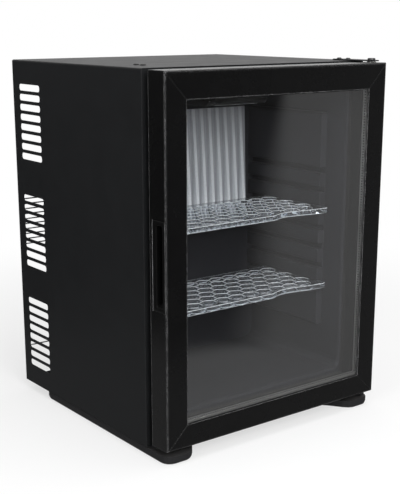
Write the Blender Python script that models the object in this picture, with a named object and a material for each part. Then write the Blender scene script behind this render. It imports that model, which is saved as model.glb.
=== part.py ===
"""Hotel minibar fridge with a glass door, cooled by an absorption unit behind the cabinet.

The fridge stands on z = 0 with its centre over the origin. The door faces -Y and hangs on the +X side.
"""

import math

import bmesh
import bpy
from mathutils import Matrix, Vector

# Overall sizes, in metres
CABINET_WIDTH = 0.402
CABINET_DEPTH = 0.352
CABINET_HEIGHT = 0.5185
BASE_HEIGHT = 0.015
CLEARANCE = 0.0003

# Door sizes
DOOR_SIDE_STEP = 0.00115
DOOR_THICKNESS = 0.0402
DOOR_GAP = 0.0085
DOOR_BOTTOM_STEP = 0.0073
DOOR_TOP_STEP = 0.0015

# Sheet steel wrap
SHEET = 0.0008
WRAP_BEND = 0.0025
FRONT_FLANGE = 0.024
REAR_FLANGE = 0.010
VENT_LENGTH = 0.063
VENT_HEIGHT = 0.0099
VENT_CORNER = 0.0035
VENT_PITCH = 0.01495
VENT_COUNT = 8
VENT_REAR_MARGIN = 0.0195
VENT_TOP_DROP = 0.0355
VENT_LOWER_TOPS = (0.3129, 0.1462)

# Bottom pan
PAN_FLANGE = 0.030
PAN_REAR_LIP = 0.005
PAN_SLOT_LENGTH = 0.040
PAN_SLOT_WIDTH = 0.007
PAN_SLOT_COUNT = 6
PAN_SLOT_PITCH = 0.048

# Base with its two runners
RUNNER_WIDTH = 0.0485
RUNNER_HEIGHT = 0.0127
RUNNER_SIDE_INSET = 0.0025
RUNNER_EDGE = 0.005
TOE_REACH = 0.0455
TOE_CORNER = 0.016
HEEL_CORNER = 0.014
BASE_REAR_SETBACK = 0.060
PLINTH_REACH = 0.006
THROAT_WIDTH = 0.030
TOE_SLANT = 0.012
DECK_LIFT = 0.0075
DECK_INSET = 0.003

# Liner
WALL_SIDE = 0.029
WALL_TOP = 0.0345
FLOOR_RISE = 0.040
REAR_SPACE = 0.136
LINER_SKIN = 0.002
LINER_CORNER = 0.014
LINER_FLARE = 0.004
LIP_SKIN = 0.002

# Shelf rails formed in the liner
RAIL_STEP = 0.012
RAIL_SETBACK = 0.043
RAIL_FLOOR_STEP = 0.062
RAIL_CEILING_STEP = 0.044
GROOVE_COUNT = 7
GROOVE_PITCH = 0.03013
GROOVE_HEIGHT = 0.0088
GROOVE_DEPTH = 0.011
TOP_GROOVE_DROP = 0.1371
RAIL_EDGE = 0.0012

# Insulation and the panel behind it
FOAM_REAR = 0.0267
PANEL_EDGE = 0.008

# Shelves
SHELF_SETBACK = 0.028
SHELF_BACK_SPACE = 0.041
SHELF_HEIGHT = 0.0078
SHELF_CORNER = 0.018
SHELF_SIDE_GAP = 0.0025
NOTCH_MARGIN = 0.0085
NOTCH_LENGTH = 0.105
NOTCH_DEPTH = 0.009
CELL_PITCH = 0.0270
CELL_ROW_PITCH = 0.0200
CELL_WALL = 0.0030
CELL_ROWS = 6
FRONT_BAND = 0.009
SIDE_BAND = 0.006
UPPER_SHELF_GROOVE = 2
LOWER_SHELF_GROOVE = 6

# Cold plate
PLATE_SIDE_SPACE = 0.024
PLATE_CEILING_STEP = 0.044
PLATE_HEIGHT = 0.1833
PLATE_BASE = 0.003
RIB_PITCH = 0.016
RIB_HEIGHT = 0.012
RIB_TOP_HEIGHT = 0.003
RIB_FOOT = 0.0100
RIB_TIP = 0.0050
PLATE_LEAN = math.radians(2.0)

# Drip gutter, hose and dish
GUTTER_SIDE_SPACE = 0.020
GUTTER_DROP = 0.014
GUTTER_HEIGHT = 0.016
GUTTER_REACH = 0.030
GUTTER_WALL = 0.0015
GUTTER_SLANT = 0.008
HOSE_RADIUS = 0.004
HOSE_BEND = 0.012
HOSE_INSET = 0.083
DISH_LEFT = -0.100
DISH_RIGHT = 0.060
DISH_HEIGHT = 0.026
DISH_WALL = 0.0018
DISH_CORNER = 0.010

# Lamp and thermostat on the ceiling
LAMP_HALF_WIDTH = 0.055
LAMP_DEPTH = 0.070
LAMP_HEIGHT = 0.024
LAMP_SETBACK = 0.050
LENS_SKIN = 0.0015
LAMP_EDGE = 0.005
SPINDLE_RADIUS = 0.003
KNOB_RADIUS = 0.0105
KNOB_LENGTH = 0.010

# Door frame section, measured inward from its outer edge
STILE_FACE = 0.03585
TOP_RAIL_FACE = 0.0381
BOTTOM_RAIL_FACE = 0.0342
FRAME_BODY = 0.0175
BEAD_DEPTH = 0.0045
FRAME_LAND = 0.006
FRAME_FALL = 0.0005
FRAME_ROUND = 0.0028
LIP_BEVEL = 0.0014
LIP_BACK = 0.0028
BEAD_INSET = 0.002
BEAD_INNER = 0.027
BEAD_EDGE = 0.001
MITRE_GAP = 0.000225

# Glazing
GLASS = 0.004
SPACER_DEPTH = 0.0085
SPACER_WIDTH = 0.0065
SPACER_INNER = 0.0303
SPACER_LIFT = 0.006
SEALANT_DEPTH = 0.0035
SPACER_NICK = 0.001

# Door seal
SEAL_OUTER = 0.0142
SEAL_INNER = 0.0255
SEAL_DART = 0.0205
SEAL_SKIN = 0.0008
DART_WIDTH = 0.0024
DART_DEPTH = 0.0038
MAGNET_THICKNESS = 0.0014
MAGNET_WIDTH = 0.0064

# Recessed grip in the free edge of the door
GRIP_BOTTOM = 0.218
GRIP_TOP = 0.341
GRIP_FRONT = 0.0026
GRIP_REAR = 0.0302
GRIP_DEPTH = 0.0152
GRIP_WALL = 0.0015
GRIP_MOUTH_FRONT = 0.0085
GRIP_MOUTH_REAR = 0.0215
GRIP_MOUTH_MARGIN = 0.0060

# Hinges
HINGE_INSET = 0.01385
HINGE_SETBACK = 0.018
PIN_RADIUS = 0.003
PIN_CAP_RADIUS = 0.0058
PIN_CAP_HEIGHT = 0.0026
PIN_REACH = 0.011
COLLAR_RADIUS = 0.005
BUSH_RADIUS = 0.0046
BUSH_FLANGE_RADIUS = 0.0066
BUSH_FLANGE = 0.001
BUSH_LENGTH = 0.013
HINGE_PLATE = 0.0015
HINGE_PLATE_WIDTH = 0.022
HINGE_PLATE_END = 0.010
HINGE_SCREW_REACH = (0.0355, 0.017)
PLUG_INSET = 0.045
PLUG_REACH = (0.078, 0.062)
PLUG_RADIUS = 0.0042
PLUG_RISE = 0.0016
BRACKET_SHEET = 0.002
BRACKET_TOP = 0.034
BRACKET_LEFT = 0.018
BRACKET_RIGHT = 0.014
BRACKET_NOSE = 0.010
BRACKET_SCREW_OFFSETS = (-0.004, 0.008)
SCREW_RADIUS = 0.0018
SCREW_HEAD = 0.0036
SCREW_HEAD_HEIGHT = 0.0018
SCREW_LENGTH = 0.011
SCREW_STEPS = 10

# Cooling unit
TUBE_RADIUS = 0.0075
UNIT_SETBACK = 0.050
COIL_RUNS = 5
COIL_PITCH = 0.044
COIL_FALL = 0.006
COIL_BEND = 0.0135
COIL_HALF_WIDTH = 0.085
COIL_CENTRE_X = -0.015
COIL_STUB = 0.022
VESSEL_RADIUS = 0.026
VESSEL_HALF_LENGTH = 0.085
VESSEL_Z = 0.078
BOILER_INSET = 0.061
BOILER_RADIUS = 0.011
BOILER_BOTTOM = 0.038
BOILER_TOP_DROP = 0.025
NECK_LENGTH = 0.012
JACKET_RADIUS = 0.034
JACKET_SHEET = 0.001
JACKET_BOTTOM = 0.056
JACKET_TOP = 0.300
HEATER_RADIUS = 0.006
HEATER_WALL = 0.002
HEATER_LENGTH = 0.122
HEATER_BOTTOM = 0.043
LIQUID_RADIUS = 0.005
LIQUID_Z = 0.046
CONDENSER_DROP = 0.0535
DOWN_LEG_INSET = 0.073
DOWN_LEG_LENGTH = 0.055
UNIT_BEND = 0.018
FIN_COUNT = 9
FIN_PITCH = 0.015
FIN_THICKNESS = 0.0008
FIN_HEIGHT = 0.060
FIN_DEPTH = 0.056
FIN_COLLAR = 0.0012
EVAPORATOR_DROP = 0.080
STRAP_SHEET = 0.0015
STRAP_HALF_WIDTH = 0.060
STRAP_HEIGHT = 0.018

# Rear wire guard
WIRE_RADIUS = 0.0011
WIRE_COUNT = 11
WIRE_PITCH = 0.0081
TOP_WIRE_SHARE = 0.5980
LOW_WIRE_Z = 0.073
GUARD_POST_INSET = 0.075

# Control box
BOX_X = -0.045
BOX_Z = 0.150
BOX_WIDTH = 0.085
BOX_DEPTH = 0.040
BOX_HEIGHT = 0.078
BOX_WALL = 0.002
COVER_LIP = 0.003
INLET_WIDTH = 0.028
INLET_DEPTH = 0.020
INLET_HEIGHT = 0.022
INLET_FLANGE = 0.002
INLET_WALL = 0.002
PRONG_WIDTH = 0.004
PRONG_THICKNESS = 0.002
PRONG_PITCH = 0.007
LEAD_RADIUS = 0.0025
OVERCUT = 0.001

# Places worked out from the sizes above
HALF_WIDTH = CABINET_WIDTH / 2
DOOR_WIDTH = CABINET_WIDTH - 2 * DOOR_SIDE_STEP
INTERIOR_DEPTH = CABINET_DEPTH - REAR_SPACE
SHELF_DEPTH = INTERIOR_DEPTH - SHELF_SETBACK - SHELF_BACK_SPACE
FRAME_DEPTH = DOOR_THICKNESS - BEAD_DEPTH
DOOR_FRONT = -(CABINET_DEPTH + DOOR_GAP + DOOR_THICKNESS) / 2
DOOR_BACK = DOOR_FRONT + DOOR_THICKNESS
CABINET_FRONT = DOOR_BACK + DOOR_GAP
CABINET_REAR = CABINET_FRONT + CABINET_DEPTH
CABINET_TOP = BASE_HEIGHT + CABINET_HEIGHT
DOOR_BOTTOM = BASE_HEIGHT + DOOR_BOTTOM_STEP
DOOR_TOP = CABINET_TOP - DOOR_TOP_STEP
DOOR_HALF = DOOR_WIDTH / 2
CAVITY_HALF = HALF_WIDTH - WALL_SIDE
CAVITY_FLOOR = BASE_HEIGHT + FLOOR_RISE
CAVITY_TOP = CABINET_TOP - WALL_TOP
CAVITY_BACK = CABINET_FRONT + INTERIOR_DEPTH
PANEL_FRONT = CAVITY_BACK + LINER_SKIN + FOAM_REAR + 2 * CLEARANCE
PANEL_BACK = PANEL_FRONT + SHEET
PAN_TOP = BASE_HEIGHT + SHEET
HINGE_X = DOOR_HALF - HINGE_INSET
HINGE_Y = DOOR_FRONT + HINGE_SETBACK
RAIL_FACE = CAVITY_HALF - RAIL_STEP
SHELF_HALF = RAIL_FACE + GROOVE_DEPTH - SHELF_SIDE_GAP
NOTCH_END = SHELF_HALF - NOTCH_MARGIN
NOTCH_START = NOTCH_END - NOTCH_LENGTH
BRACKET_BOTTOM = BASE_HEIGHT + CLEARANCE
RAIL_BOTTOM = CAVITY_FLOOR + RAIL_FLOOR_STEP
RAIL_TOP = CAVITY_TOP - RAIL_CEILING_STEP
TOP_GROOVE_LIP = CAVITY_TOP - TOP_GROOVE_DROP
PLATE_HALF_WIDTH = CAVITY_HALF - PLATE_SIDE_SPACE
PLATE_BOTTOM = CAVITY_TOP - PLATE_CEILING_STEP - PLATE_HEIGHT
GUTTER_HALF_WIDTH = CAVITY_HALF - GUTTER_SIDE_SPACE
HOSE_X = HOSE_INSET - HALF_WIDTH
PLUG_X = PLUG_INSET - HALF_WIDTH
UNIT_Y = CABINET_REAR - UNIT_SETBACK
BOILER_X = HALF_WIDTH - BOILER_INSET
CONDENSER_Z = CABINET_TOP - CONDENSER_DROP
BOILER_TOP = CONDENSER_Z - BOILER_TOP_DROP
DOWN_LEG_X = DOWN_LEG_INSET - HALF_WIDTH
DOWN_LEG_BOTTOM = CONDENSER_Z - DOWN_LEG_LENGTH
EVAPORATOR_Z = CONDENSER_Z - EVAPORATOR_DROP
TOP_WIRE_Z = BASE_HEIGHT + TOP_WIRE_SHARE * CABINET_HEIGHT
GUARD_POST_X = HALF_WIDTH - GUARD_POST_INSET


def clear_scene():
    for item in list(bpy.data.objects):
        bpy.data.objects.remove(item, do_unlink=True)


def finish_material(name, colour, roughness, metallic=0.0, transmission=0.0):
    """One Principled finish, made once and shared by the pieces that have it."""
    if name in bpy.data.materials:
        return bpy.data.materials[name]
    made = bpy.data.materials.new(name)
    made.use_nodes = True
    shader = made.node_tree.nodes["Principled BSDF"]
    shader.inputs["Base Color"].default_value = (*colour, 1.0)
    shader.inputs["Roughness"].default_value = roughness
    shader.inputs["Metallic"].default_value = metallic
    shader.inputs["Transmission Weight"].default_value = transmission
    made.diffuse_color = (*colour, 1.0)
    return made


def black_paint():
    return finish_material("black_paint", (0.016, 0.017, 0.018), 0.42)


def black_plastic():
    return finish_material("black_plastic", (0.018, 0.019, 0.020), 0.48)


def liner_plastic():
    return finish_material("liner_plastic", (0.030, 0.030, 0.034), 0.36)


def clear_plastic():
    return finish_material("clear_plastic", (0.90, 0.93, 0.95), 0.06, transmission=1.0)


def clear_glass():
    return finish_material("clear_glass", (0.93, 0.96, 0.95), 0.02, transmission=1.0)


def bare_aluminium():
    return finish_material("bare_aluminium", (0.72, 0.73, 0.74), 0.30, metallic=1.0)


def zinc_steel():
    return finish_material("zinc_steel", (0.55, 0.56, 0.57), 0.38, metallic=1.0)


def unit_paint():
    return finish_material("unit_paint", (0.020, 0.020, 0.021), 0.55)


def pale_foam():
    return finish_material("pale_foam", (0.72, 0.66, 0.48), 0.90)


def soft_rubber():
    return finish_material("soft_rubber", (0.012, 0.012, 0.013), 0.65)


def lamp_plastic():
    return finish_material("lamp_plastic", (0.82, 0.84, 0.86), 0.30, transmission=0.5)


def place_mesh(name, bm, material, smooth=True):
    """Turn a closed bmesh into an object with outward faces and its own finish."""
    bmesh.ops.recalc_face_normals(bm, faces=bm.faces)
    mesh = bpy.data.meshes.new(name)
    bm.to_mesh(mesh)
    bm.free()
    if smooth:
        mesh.shade_smooth()
        mesh.set_sharp_from_angle(angle=math.radians(35))
    made = bpy.data.objects.new(name, mesh)
    bpy.context.scene.collection.objects.link(made)
    if material:
        mesh.materials.append(material)
    return made


def boolean(target, tool, operation="DIFFERENCE"):
    """Cut or join a tool into the target with an exact Boolean, then drop the tool."""
    step = target.modifiers.new(operation.lower(), "BOOLEAN")
    step.operation = operation
    step.solver = "EXACT"
    step.object = tool
    view = bpy.context.evaluated_depsgraph_get()
    result = bpy.data.meshes.new_from_object(target.evaluated_get(view))
    target.modifiers.clear()
    target.data = result
    result.name = target.name
    bpy.data.objects.remove(tool, do_unlink=True)
    return target


def on_axis(axis, along, first, second):
    """A point from its place along an axis and its two places across it."""
    return {
        "x": (along, first, second),
        "y": (first, along, second),
        "z": (first, second, along),
    }[axis]


def add_prism(bm, outline, axis, low, high):
    """Extrude a closed outline along an axis, from low to high."""
    corners = [bm.verts.new(on_axis(axis, low, a, b)) for a, b in outline]
    face = bm.faces.new(corners)
    grown = bmesh.ops.extrude_face_region(bm, geom=[face])
    lifted = [item for item in grown["geom"] if isinstance(item, bmesh.types.BMVert)]
    bmesh.ops.translate(bm, verts=lifted, vec=Vector(on_axis(axis, high - low, 0.0, 0.0)))
    return corners + lifted


def prism(name, outline, axis, low, high, material=None, smooth=True):
    bm = bmesh.new()
    add_prism(bm, outline, axis, low, high)
    return place_mesh(name, bm, material, smooth)


def add_box(bm, low, high):
    outline = [(low[0], low[1]), (high[0], low[1]), (high[0], high[1]), (low[0], high[1])]
    return add_prism(bm, outline, "z", low[2], high[2])


def box(name, low, high, material=None):
    bm = bmesh.new()
    add_box(bm, low, high)
    return place_mesh(name, bm, material, smooth=False)


def arc(centre, radius, start, end, steps):
    """Points on an arc, with both its ends, for angles in degrees."""
    turn = [math.radians(start + (end - start) * k / steps) for k in range(steps + 1)]
    return [(centre[0] + radius * math.cos(a), centre[1] + radius * math.sin(a)) for a in turn]


def rounded_rectangle(low, high, radius, steps=3):
    """A rectangle with four round corners, as an anticlockwise outline."""
    inner_low = (low[0] + radius, low[1] + radius)
    inner_high = (high[0] - radius, high[1] - radius)
    outline = arc((inner_high[0], inner_low[1]), radius, -90, 0, steps)
    outline += arc(inner_high, radius, 0, 90, steps)
    outline += arc((inner_low[0], inner_high[1]), radius, 90, 180, steps)
    outline += arc(inner_low, radius, 180, 270, steps)
    return outline


def add_lathe(bm, profile, centre, axis="z", steps=16):
    """Turn a profile of (radius, height) points about an axis through the centre."""
    rings = []
    for radius, height in profile:
        if radius == 0:
            spot = on_axis(axis, height, 0.0, 0.0)
            rings.append([bm.verts.new(Vector(centre) + Vector(spot))])
            continue
        ring = []
        for k in range(steps):
            angle = 2 * math.pi * k / steps
            spot = on_axis(axis, height, radius * math.cos(angle), radius * math.sin(angle))
            ring.append(bm.verts.new(Vector(centre) + Vector(spot)))
        rings.append(ring)
    for lower, upper in zip(rings, rings[1:] + rings[:1]):
        join_rings(bm, lower, upper)


def join_rings(bm, lower, upper):
    """Fill the band between two rings, either of which may be a single pole."""
    count = max(len(lower), len(upper))
    if count == 1:
        return
    for k in range(count):
        after = (k + 1) % count
        corners = [lower[k % len(lower)], lower[after % len(lower)]]
        corners += [upper[after % len(upper)], upper[k % len(upper)]]
        unique = list(dict.fromkeys(corners))
        bm.faces.new(unique)


def lathe(name, profile, centre, material=None, axis="z", steps=16):
    """A turned piece: a profile that starts and ends on the axis is solid, any other is a ring."""
    bm = bmesh.new()
    add_lathe(bm, profile, centre, axis, steps)
    return place_mesh(name, bm, material)


def rounded_path(corners, radius, steps=5):
    """A pipe's centre line: straight runs between corners, joined by round bends."""
    points = [Vector(corners[0])]
    for before, corner, after in zip(corners, corners[1:], corners[2:]):
        corner = Vector(corner)
        inward = (corner - Vector(before)).normalized()
        outward = (Vector(after) - corner).normalized()
        turn = inward.angle(outward)
        reach = radius * math.tan(turn / 2)
        start = corner - inward * reach
        centre_way = (outward - inward).normalized()
        centre = corner + centre_way * (radius / math.cos(turn / 2))
        spin_axis = inward.cross(outward).normalized()
        for k in range(steps + 1):
            swing = Matrix.Rotation(turn * k / steps, 3, spin_axis)
            points.append(centre + swing @ (start - centre))
    points.append(Vector(corners[-1]))
    return points


def tube(name, points, radius, material, resolution=2):
    """A pipe or lead along its centre line, as a bevelled curve with filled ends."""
    curve = bpy.data.curves.new(name, "CURVE")
    curve.dimensions = "3D"
    curve.bevel_depth = radius
    curve.bevel_resolution = resolution
    curve.use_fill_caps = True
    spline = curve.splines.new("POLY")
    spline.points.add(len(points) - 1)
    for slot, point in zip(spline.points, points):
        slot.co = (*point, 1.0)
    made = bpy.data.objects.new(name, curve)
    bpy.context.scene.collection.objects.link(made)
    curve.materials.append(material)
    return made


def joint_empty(name, place):
    """An empty on a joint's axis that carries the pieces which move about it."""
    made = bpy.data.objects.new(name, None)
    made.empty_display_size = 0.03
    made.location = place
    bpy.context.scene.collection.objects.link(made)
    return made


def carry(pieces, empty):
    """Parent pieces to a joint's empty and leave them where they are."""
    for piece in pieces:
        piece.parent = empty
        piece.matrix_parent_inverse = Matrix.Translation(empty.location).inverted()


def hole_profile(radius, low, high):
    """Profile of a plain round plug, for cutting a hole or for a bar."""
    return [(0, low), (radius, low), (radius, high), (0, high)]


def wrap_outline(inset, bottom):
    """Front outline of the wrap: open foot, rolled bends at the two top corners."""
    half = HALF_WIDTH - inset
    top = CABINET_TOP - inset
    bend = max(WRAP_BEND - inset, SHEET / 2)
    outline = [(-half, bottom), (half, bottom)]
    outline += arc((half - bend, top - bend), bend, 0, 90, 3)
    outline += arc((-half + bend, top - bend), bend, 90, 180, 3)
    return outline


def vent_cutters():
    """Three groups of slots that run through both sides of the wrap."""
    bm = bmesh.new()
    rear = CABINET_REAR - VENT_REAR_MARGIN
    reach = HALF_WIDTH + OVERCUT
    for group_top in (CABINET_HEIGHT - VENT_TOP_DROP, *VENT_LOWER_TOPS):
        for k in range(VENT_COUNT):
            low = BASE_HEIGHT + group_top - k * VENT_PITCH - VENT_HEIGHT
            outline = rounded_rectangle((rear - VENT_LENGTH, low), (rear, low + VENT_HEIGHT), VENT_CORNER, 2)
            add_prism(bm, outline, "x", -reach, reach)
    return place_mesh("vent_cutters", bm, None)


def top_fixings():
    """Plan positions of the holes in the top: hinge screws on one side, plugs on the other."""
    places = [(HINGE_X, CABINET_FRONT + reach) for reach in HINGE_SCREW_REACH]
    places += [(PLUG_X, CABINET_FRONT + reach) for reach in PLUG_REACH]
    return places


def bracket_screw_height():
    return (BRACKET_BOTTOM + BRACKET_SHEET + BRACKET_TOP) / 2


def fixing_holes(name, radius):
    """Blind holes for the screws and plugs in the top and for the lower bracket's screws."""
    bm = bmesh.new()
    depth = SCREW_LENGTH + BRACKET_SHEET
    upright = hole_profile(radius, CABINET_TOP - depth, CABINET_TOP + OVERCUT)
    for x, y in top_fixings():
        add_lathe(bm, upright, (x, y, 0), "z", SCREW_STEPS)
    level = hole_profile(radius, CABINET_FRONT - OVERCUT, CABINET_FRONT + depth)
    for offset in BRACKET_SCREW_OFFSETS:
        add_lathe(bm, level, (HINGE_X + offset, 0, bracket_screw_height()), "y", SCREW_STEPS)
    return place_mesh(name, bm, None)


def build_outer_shell():
    """Folded steel wrap: two sides and a top, with flanges turned in at the front and the rear."""
    below = BASE_HEIGHT - OVERCUT
    shell = prism("outer_shell", wrap_outline(0, BASE_HEIGHT), "y", CABINET_FRONT, CABINET_REAR,
                  black_paint())
    hollow = prism("hollow", wrap_outline(SHEET, below), "y", CABINET_FRONT + SHEET, CABINET_REAR - SHEET)
    boolean(shell, hollow)
    mouth_half = HALF_WIDTH - FRONT_FLANGE
    mouth = box("mouth", (-mouth_half, CABINET_FRONT - OVERCUT, below),
                (mouth_half, CABINET_FRONT + 2 * SHEET, CABINET_TOP - FRONT_FLANGE))
    boolean(shell, mouth)
    back_half = HALF_WIDTH - REAR_FLANGE
    back = box("back", (-back_half, CABINET_REAR - 2 * SHEET, below),
               (back_half, CABINET_REAR + OVERCUT, CABINET_TOP - REAR_FLANGE))
    boolean(shell, back)
    boolean(shell, vent_cutters())
    boolean(shell, fixing_holes("shell_holes", SCREW_RADIUS + CLEARANCE))
    return shell


def build_bottom_pan():
    """Steel pan under the cabinet, with a front flange, a low rear lip and air slots at the rear."""
    inner_front = CABINET_FRONT + SHEET + CLEARANCE
    inner_rear = CABINET_REAR - SHEET - CLEARANCE
    wide = HALF_WIDTH - SHEET - CLEARANCE
    front_half = HALF_WIDTH - FRONT_FLANGE - CLEARANCE
    rear_half = HALF_WIDTH - REAR_FLANGE - CLEARANCE
    right = [(front_half, CABINET_FRONT), (front_half, inner_front), (wide, inner_front)]
    right += [(wide, inner_rear), (rear_half, inner_rear), (rear_half, CABINET_REAR)]
    left = [(-x, y) for x, y in reversed(right)]
    pan = prism("bottom_pan", right + left, "z", BASE_HEIGHT, PAN_TOP, black_paint(), smooth=False)
    flange = box("flange", (-front_half, CABINET_FRONT, BASE_HEIGHT),
                 (front_half, CABINET_FRONT + SHEET, BASE_HEIGHT + PAN_FLANGE))
    boolean(pan, flange, "UNION")
    lip = box("lip", (-rear_half, CABINET_REAR - SHEET, BASE_HEIGHT),
              (rear_half, CABINET_REAR, BASE_HEIGHT + PAN_REAR_LIP))
    boolean(pan, lip, "UNION")
    slots = bmesh.new()
    slot_rear = CABINET_REAR - VENT_REAR_MARGIN
    for k in range(PAN_SLOT_COUNT):
        x = (k - (PAN_SLOT_COUNT - 1) / 2) * PAN_SLOT_PITCH
        outline = rounded_rectangle((x - PAN_SLOT_WIDTH / 2, slot_rear - PAN_SLOT_LENGTH),
                                    (x + PAN_SLOT_WIDTH / 2, slot_rear), PAN_SLOT_WIDTH * 0.45)
        add_prism(slots, outline, "z", BASE_HEIGHT - OVERCUT, PAN_TOP + OVERCUT)
    boolean(pan, place_mesh("pan_slots", slots, None))
    return pan


def s_curve(start, end, steps):
    """A smooth rise from one point to another that is level at both ends."""
    points = []
    for k in range(steps + 1):
        t = k / steps
        lift = (1 - math.cos(math.pi * t)) / 2
        points.append((start[0] + (end[0] - start[0]) * t, start[1] + (end[1] - start[1]) * lift))
    return points


def runner_outline(inset):
    """Plan of the runner on the +X side: straight outer side and a toe that reaches under the door."""
    outer = HALF_WIDTH - RUNNER_SIDE_INSET - inset
    inner = HALF_WIDTH - RUNNER_SIDE_INSET - RUNNER_WIDTH + inset
    front = CABINET_FRONT - TOE_REACH + inset
    rear = CABINET_REAR - BASE_REAR_SETBACK - inset
    throat = CABINET_FRONT - PLINTH_REACH + inset
    toe = TOE_CORNER - inset
    heel = HEEL_CORNER - inset
    outline = arc((outer - toe, front + toe), toe, -90, 0, 4)
    outline += arc((outer - heel, rear - heel), heel, 0, 90, 3)
    outline += [(inner, rear), (inner, throat)]
    outline += s_curve((inner - THROAT_WIDTH, throat), (inner + TOE_SLANT, front), 6)
    return outline


def add_runner(bm, side):
    """One runner whose sole is rounded all round like a sledge."""
    loops = []
    for inset, height in ((RUNNER_EDGE, 0.0), (RUNNER_EDGE * 0.3, RUNNER_EDGE * 0.3),
                          (0.0, RUNNER_EDGE), (0.0, RUNNER_HEIGHT)):
        loops.append([bm.verts.new((side * x, y, height)) for x, y in runner_outline(inset)])
    bm.faces.new(loops[0])
    bm.faces.new(loops[-1])
    for lower, upper in zip(loops, loops[1:]):
        join_rings(bm, lower, upper)


def build_base_plinth():
    """Moulded base: a deck under the pan and two long runners with toes under the door."""
    runners = bmesh.new()
    for side in (-1, 1):
        add_runner(runners, side)
    outer = HALF_WIDTH - RUNNER_SIDE_INSET - DECK_INSET
    front = CABINET_FRONT - PLINTH_REACH + DECK_INSET
    rear = CABINET_REAR - BASE_REAR_SETBACK - DECK_INSET
    outline = rounded_rectangle((-outer, front), (outer, rear), HEEL_CORNER - DECK_INSET)
    plinth = prism("base_plinth", outline, "z", DECK_LIFT, BASE_HEIGHT - CLEARANCE, black_plastic())
    boolean(plinth, place_mesh("runners", runners, None), "UNION")
    return plinth


def liner_cavity():
    """The space inside the liner, flared where it meets the front lip."""
    bm = bmesh.new()
    stations = (
        (CABINET_FRONT - OVERCUT, LINER_FLARE + OVERCUT),
        (CABINET_FRONT + LINER_FLARE * 0.4, LINER_FLARE * 0.3),
        (CABINET_FRONT + LINER_FLARE * 1.4, 0.0),
        (CAVITY_BACK, 0.0),
    )
    loops = []
    for y, grow in stations:
        outline = rounded_rectangle((-CAVITY_HALF - grow, CAVITY_FLOOR - grow),
                                    (CAVITY_HALF + grow, CAVITY_TOP + grow), LINER_CORNER + grow, 4)
        loops.append([bm.verts.new((x, y, z)) for x, z in outline])
    bm.faces.new(loops[0])
    bm.faces.new(loops[-1])
    for front, back in zip(loops, loops[1:]):
        join_rings(bm, front, back)
    return place_mesh("liner_cavity", bm, None)


def groove_lip(number):
    """Height of the ledge that a shelf rests on, for the grooves numbered from the top."""
    return TOP_GROOVE_LIP - number * GROOVE_PITCH


def rail_outline():
    """Section of the rail panel on the +X side: grooves with eased edges between flat lands."""
    wall = CAVITY_HALF + LINER_SKIN / 2
    floor = RAIL_FACE + GROOVE_DEPTH
    edge = RAIL_EDGE
    shoulder = 3 * RAIL_EDGE
    points = [(wall, RAIL_BOTTOM), (RAIL_FACE + shoulder, RAIL_BOTTOM), (RAIL_FACE, RAIL_BOTTOM + shoulder)]
    for number in reversed(range(GROOVE_COUNT)):
        lip = groove_lip(number)
        roof = lip + GROOVE_HEIGHT
        points += [(RAIL_FACE, lip - edge), (RAIL_FACE + edge, lip), (floor, lip)]
        points += [(floor, roof), (RAIL_FACE + edge, roof), (RAIL_FACE, roof + edge)]
    points += [(RAIL_FACE, RAIL_TOP - shoulder), (RAIL_FACE + shoulder, RAIL_TOP), (wall, RAIL_TOP)]
    return points


def drain_height():
    """Height of the drain hole in the rear wall."""
    return PLATE_BOTTOM - GUTTER_DROP + GUTTER_WALL + HOSE_RADIUS


def wall_holes(name, slack):
    """Holes through the rear wall for the evaporator tube and the drain hose."""
    bm = bmesh.new()
    low = CAVITY_BACK - LINER_SKIN
    high = PANEL_BACK + OVERCUT
    evaporator = hole_profile(TUBE_RADIUS + CLEARANCE + slack, low, high)
    add_lathe(bm, evaporator, (0, 0, EVAPORATOR_Z), "y", 16)
    drain = hole_profile(HOSE_RADIUS + CLEARANCE + slack, low, high)
    add_lathe(bm, drain, (HOSE_X, 0, drain_height()), "y", 16)
    return place_mesh(name, bm, None)


def build_inner_liner():
    """Formed plastic liner: thin box with a front lip and a grooved rail panel on each side."""
    outer_half = CAVITY_HALF + LINER_SKIN
    liner = box("inner_liner",
                (-outer_half, CABINET_FRONT + LIP_SKIN / 2, CAVITY_FLOOR - LINER_SKIN),
                (outer_half, CAVITY_BACK + LINER_SKIN, CAVITY_TOP + LINER_SKIN), liner_plastic())
    lip_half = HALF_WIDTH - FRONT_FLANGE - CLEARANCE
    lip = box("lip", (-lip_half, CABINET_FRONT, BASE_HEIGHT + PAN_FLANGE + CLEARANCE),
              (lip_half, CABINET_FRONT + LIP_SKIN, CABINET_TOP - FRONT_FLANGE - CLEARANCE))
    boolean(liner, lip, "UNION")
    boolean(liner, liner_cavity())
    for side in (-1, 1):
        outline = [(side * x, z) for x, z in rail_outline()]
        rail = prism("rail", outline, "y", CABINET_FRONT + RAIL_SETBACK, CAVITY_BACK + LINER_SKIN / 2)
        boolean(liner, rail, "UNION")
    boolean(liner, wall_holes("liner_holes", 0.0))
    liner.data.shade_smooth()
    liner.data.set_sharp_from_angle(angle=math.radians(35))
    return liner


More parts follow.
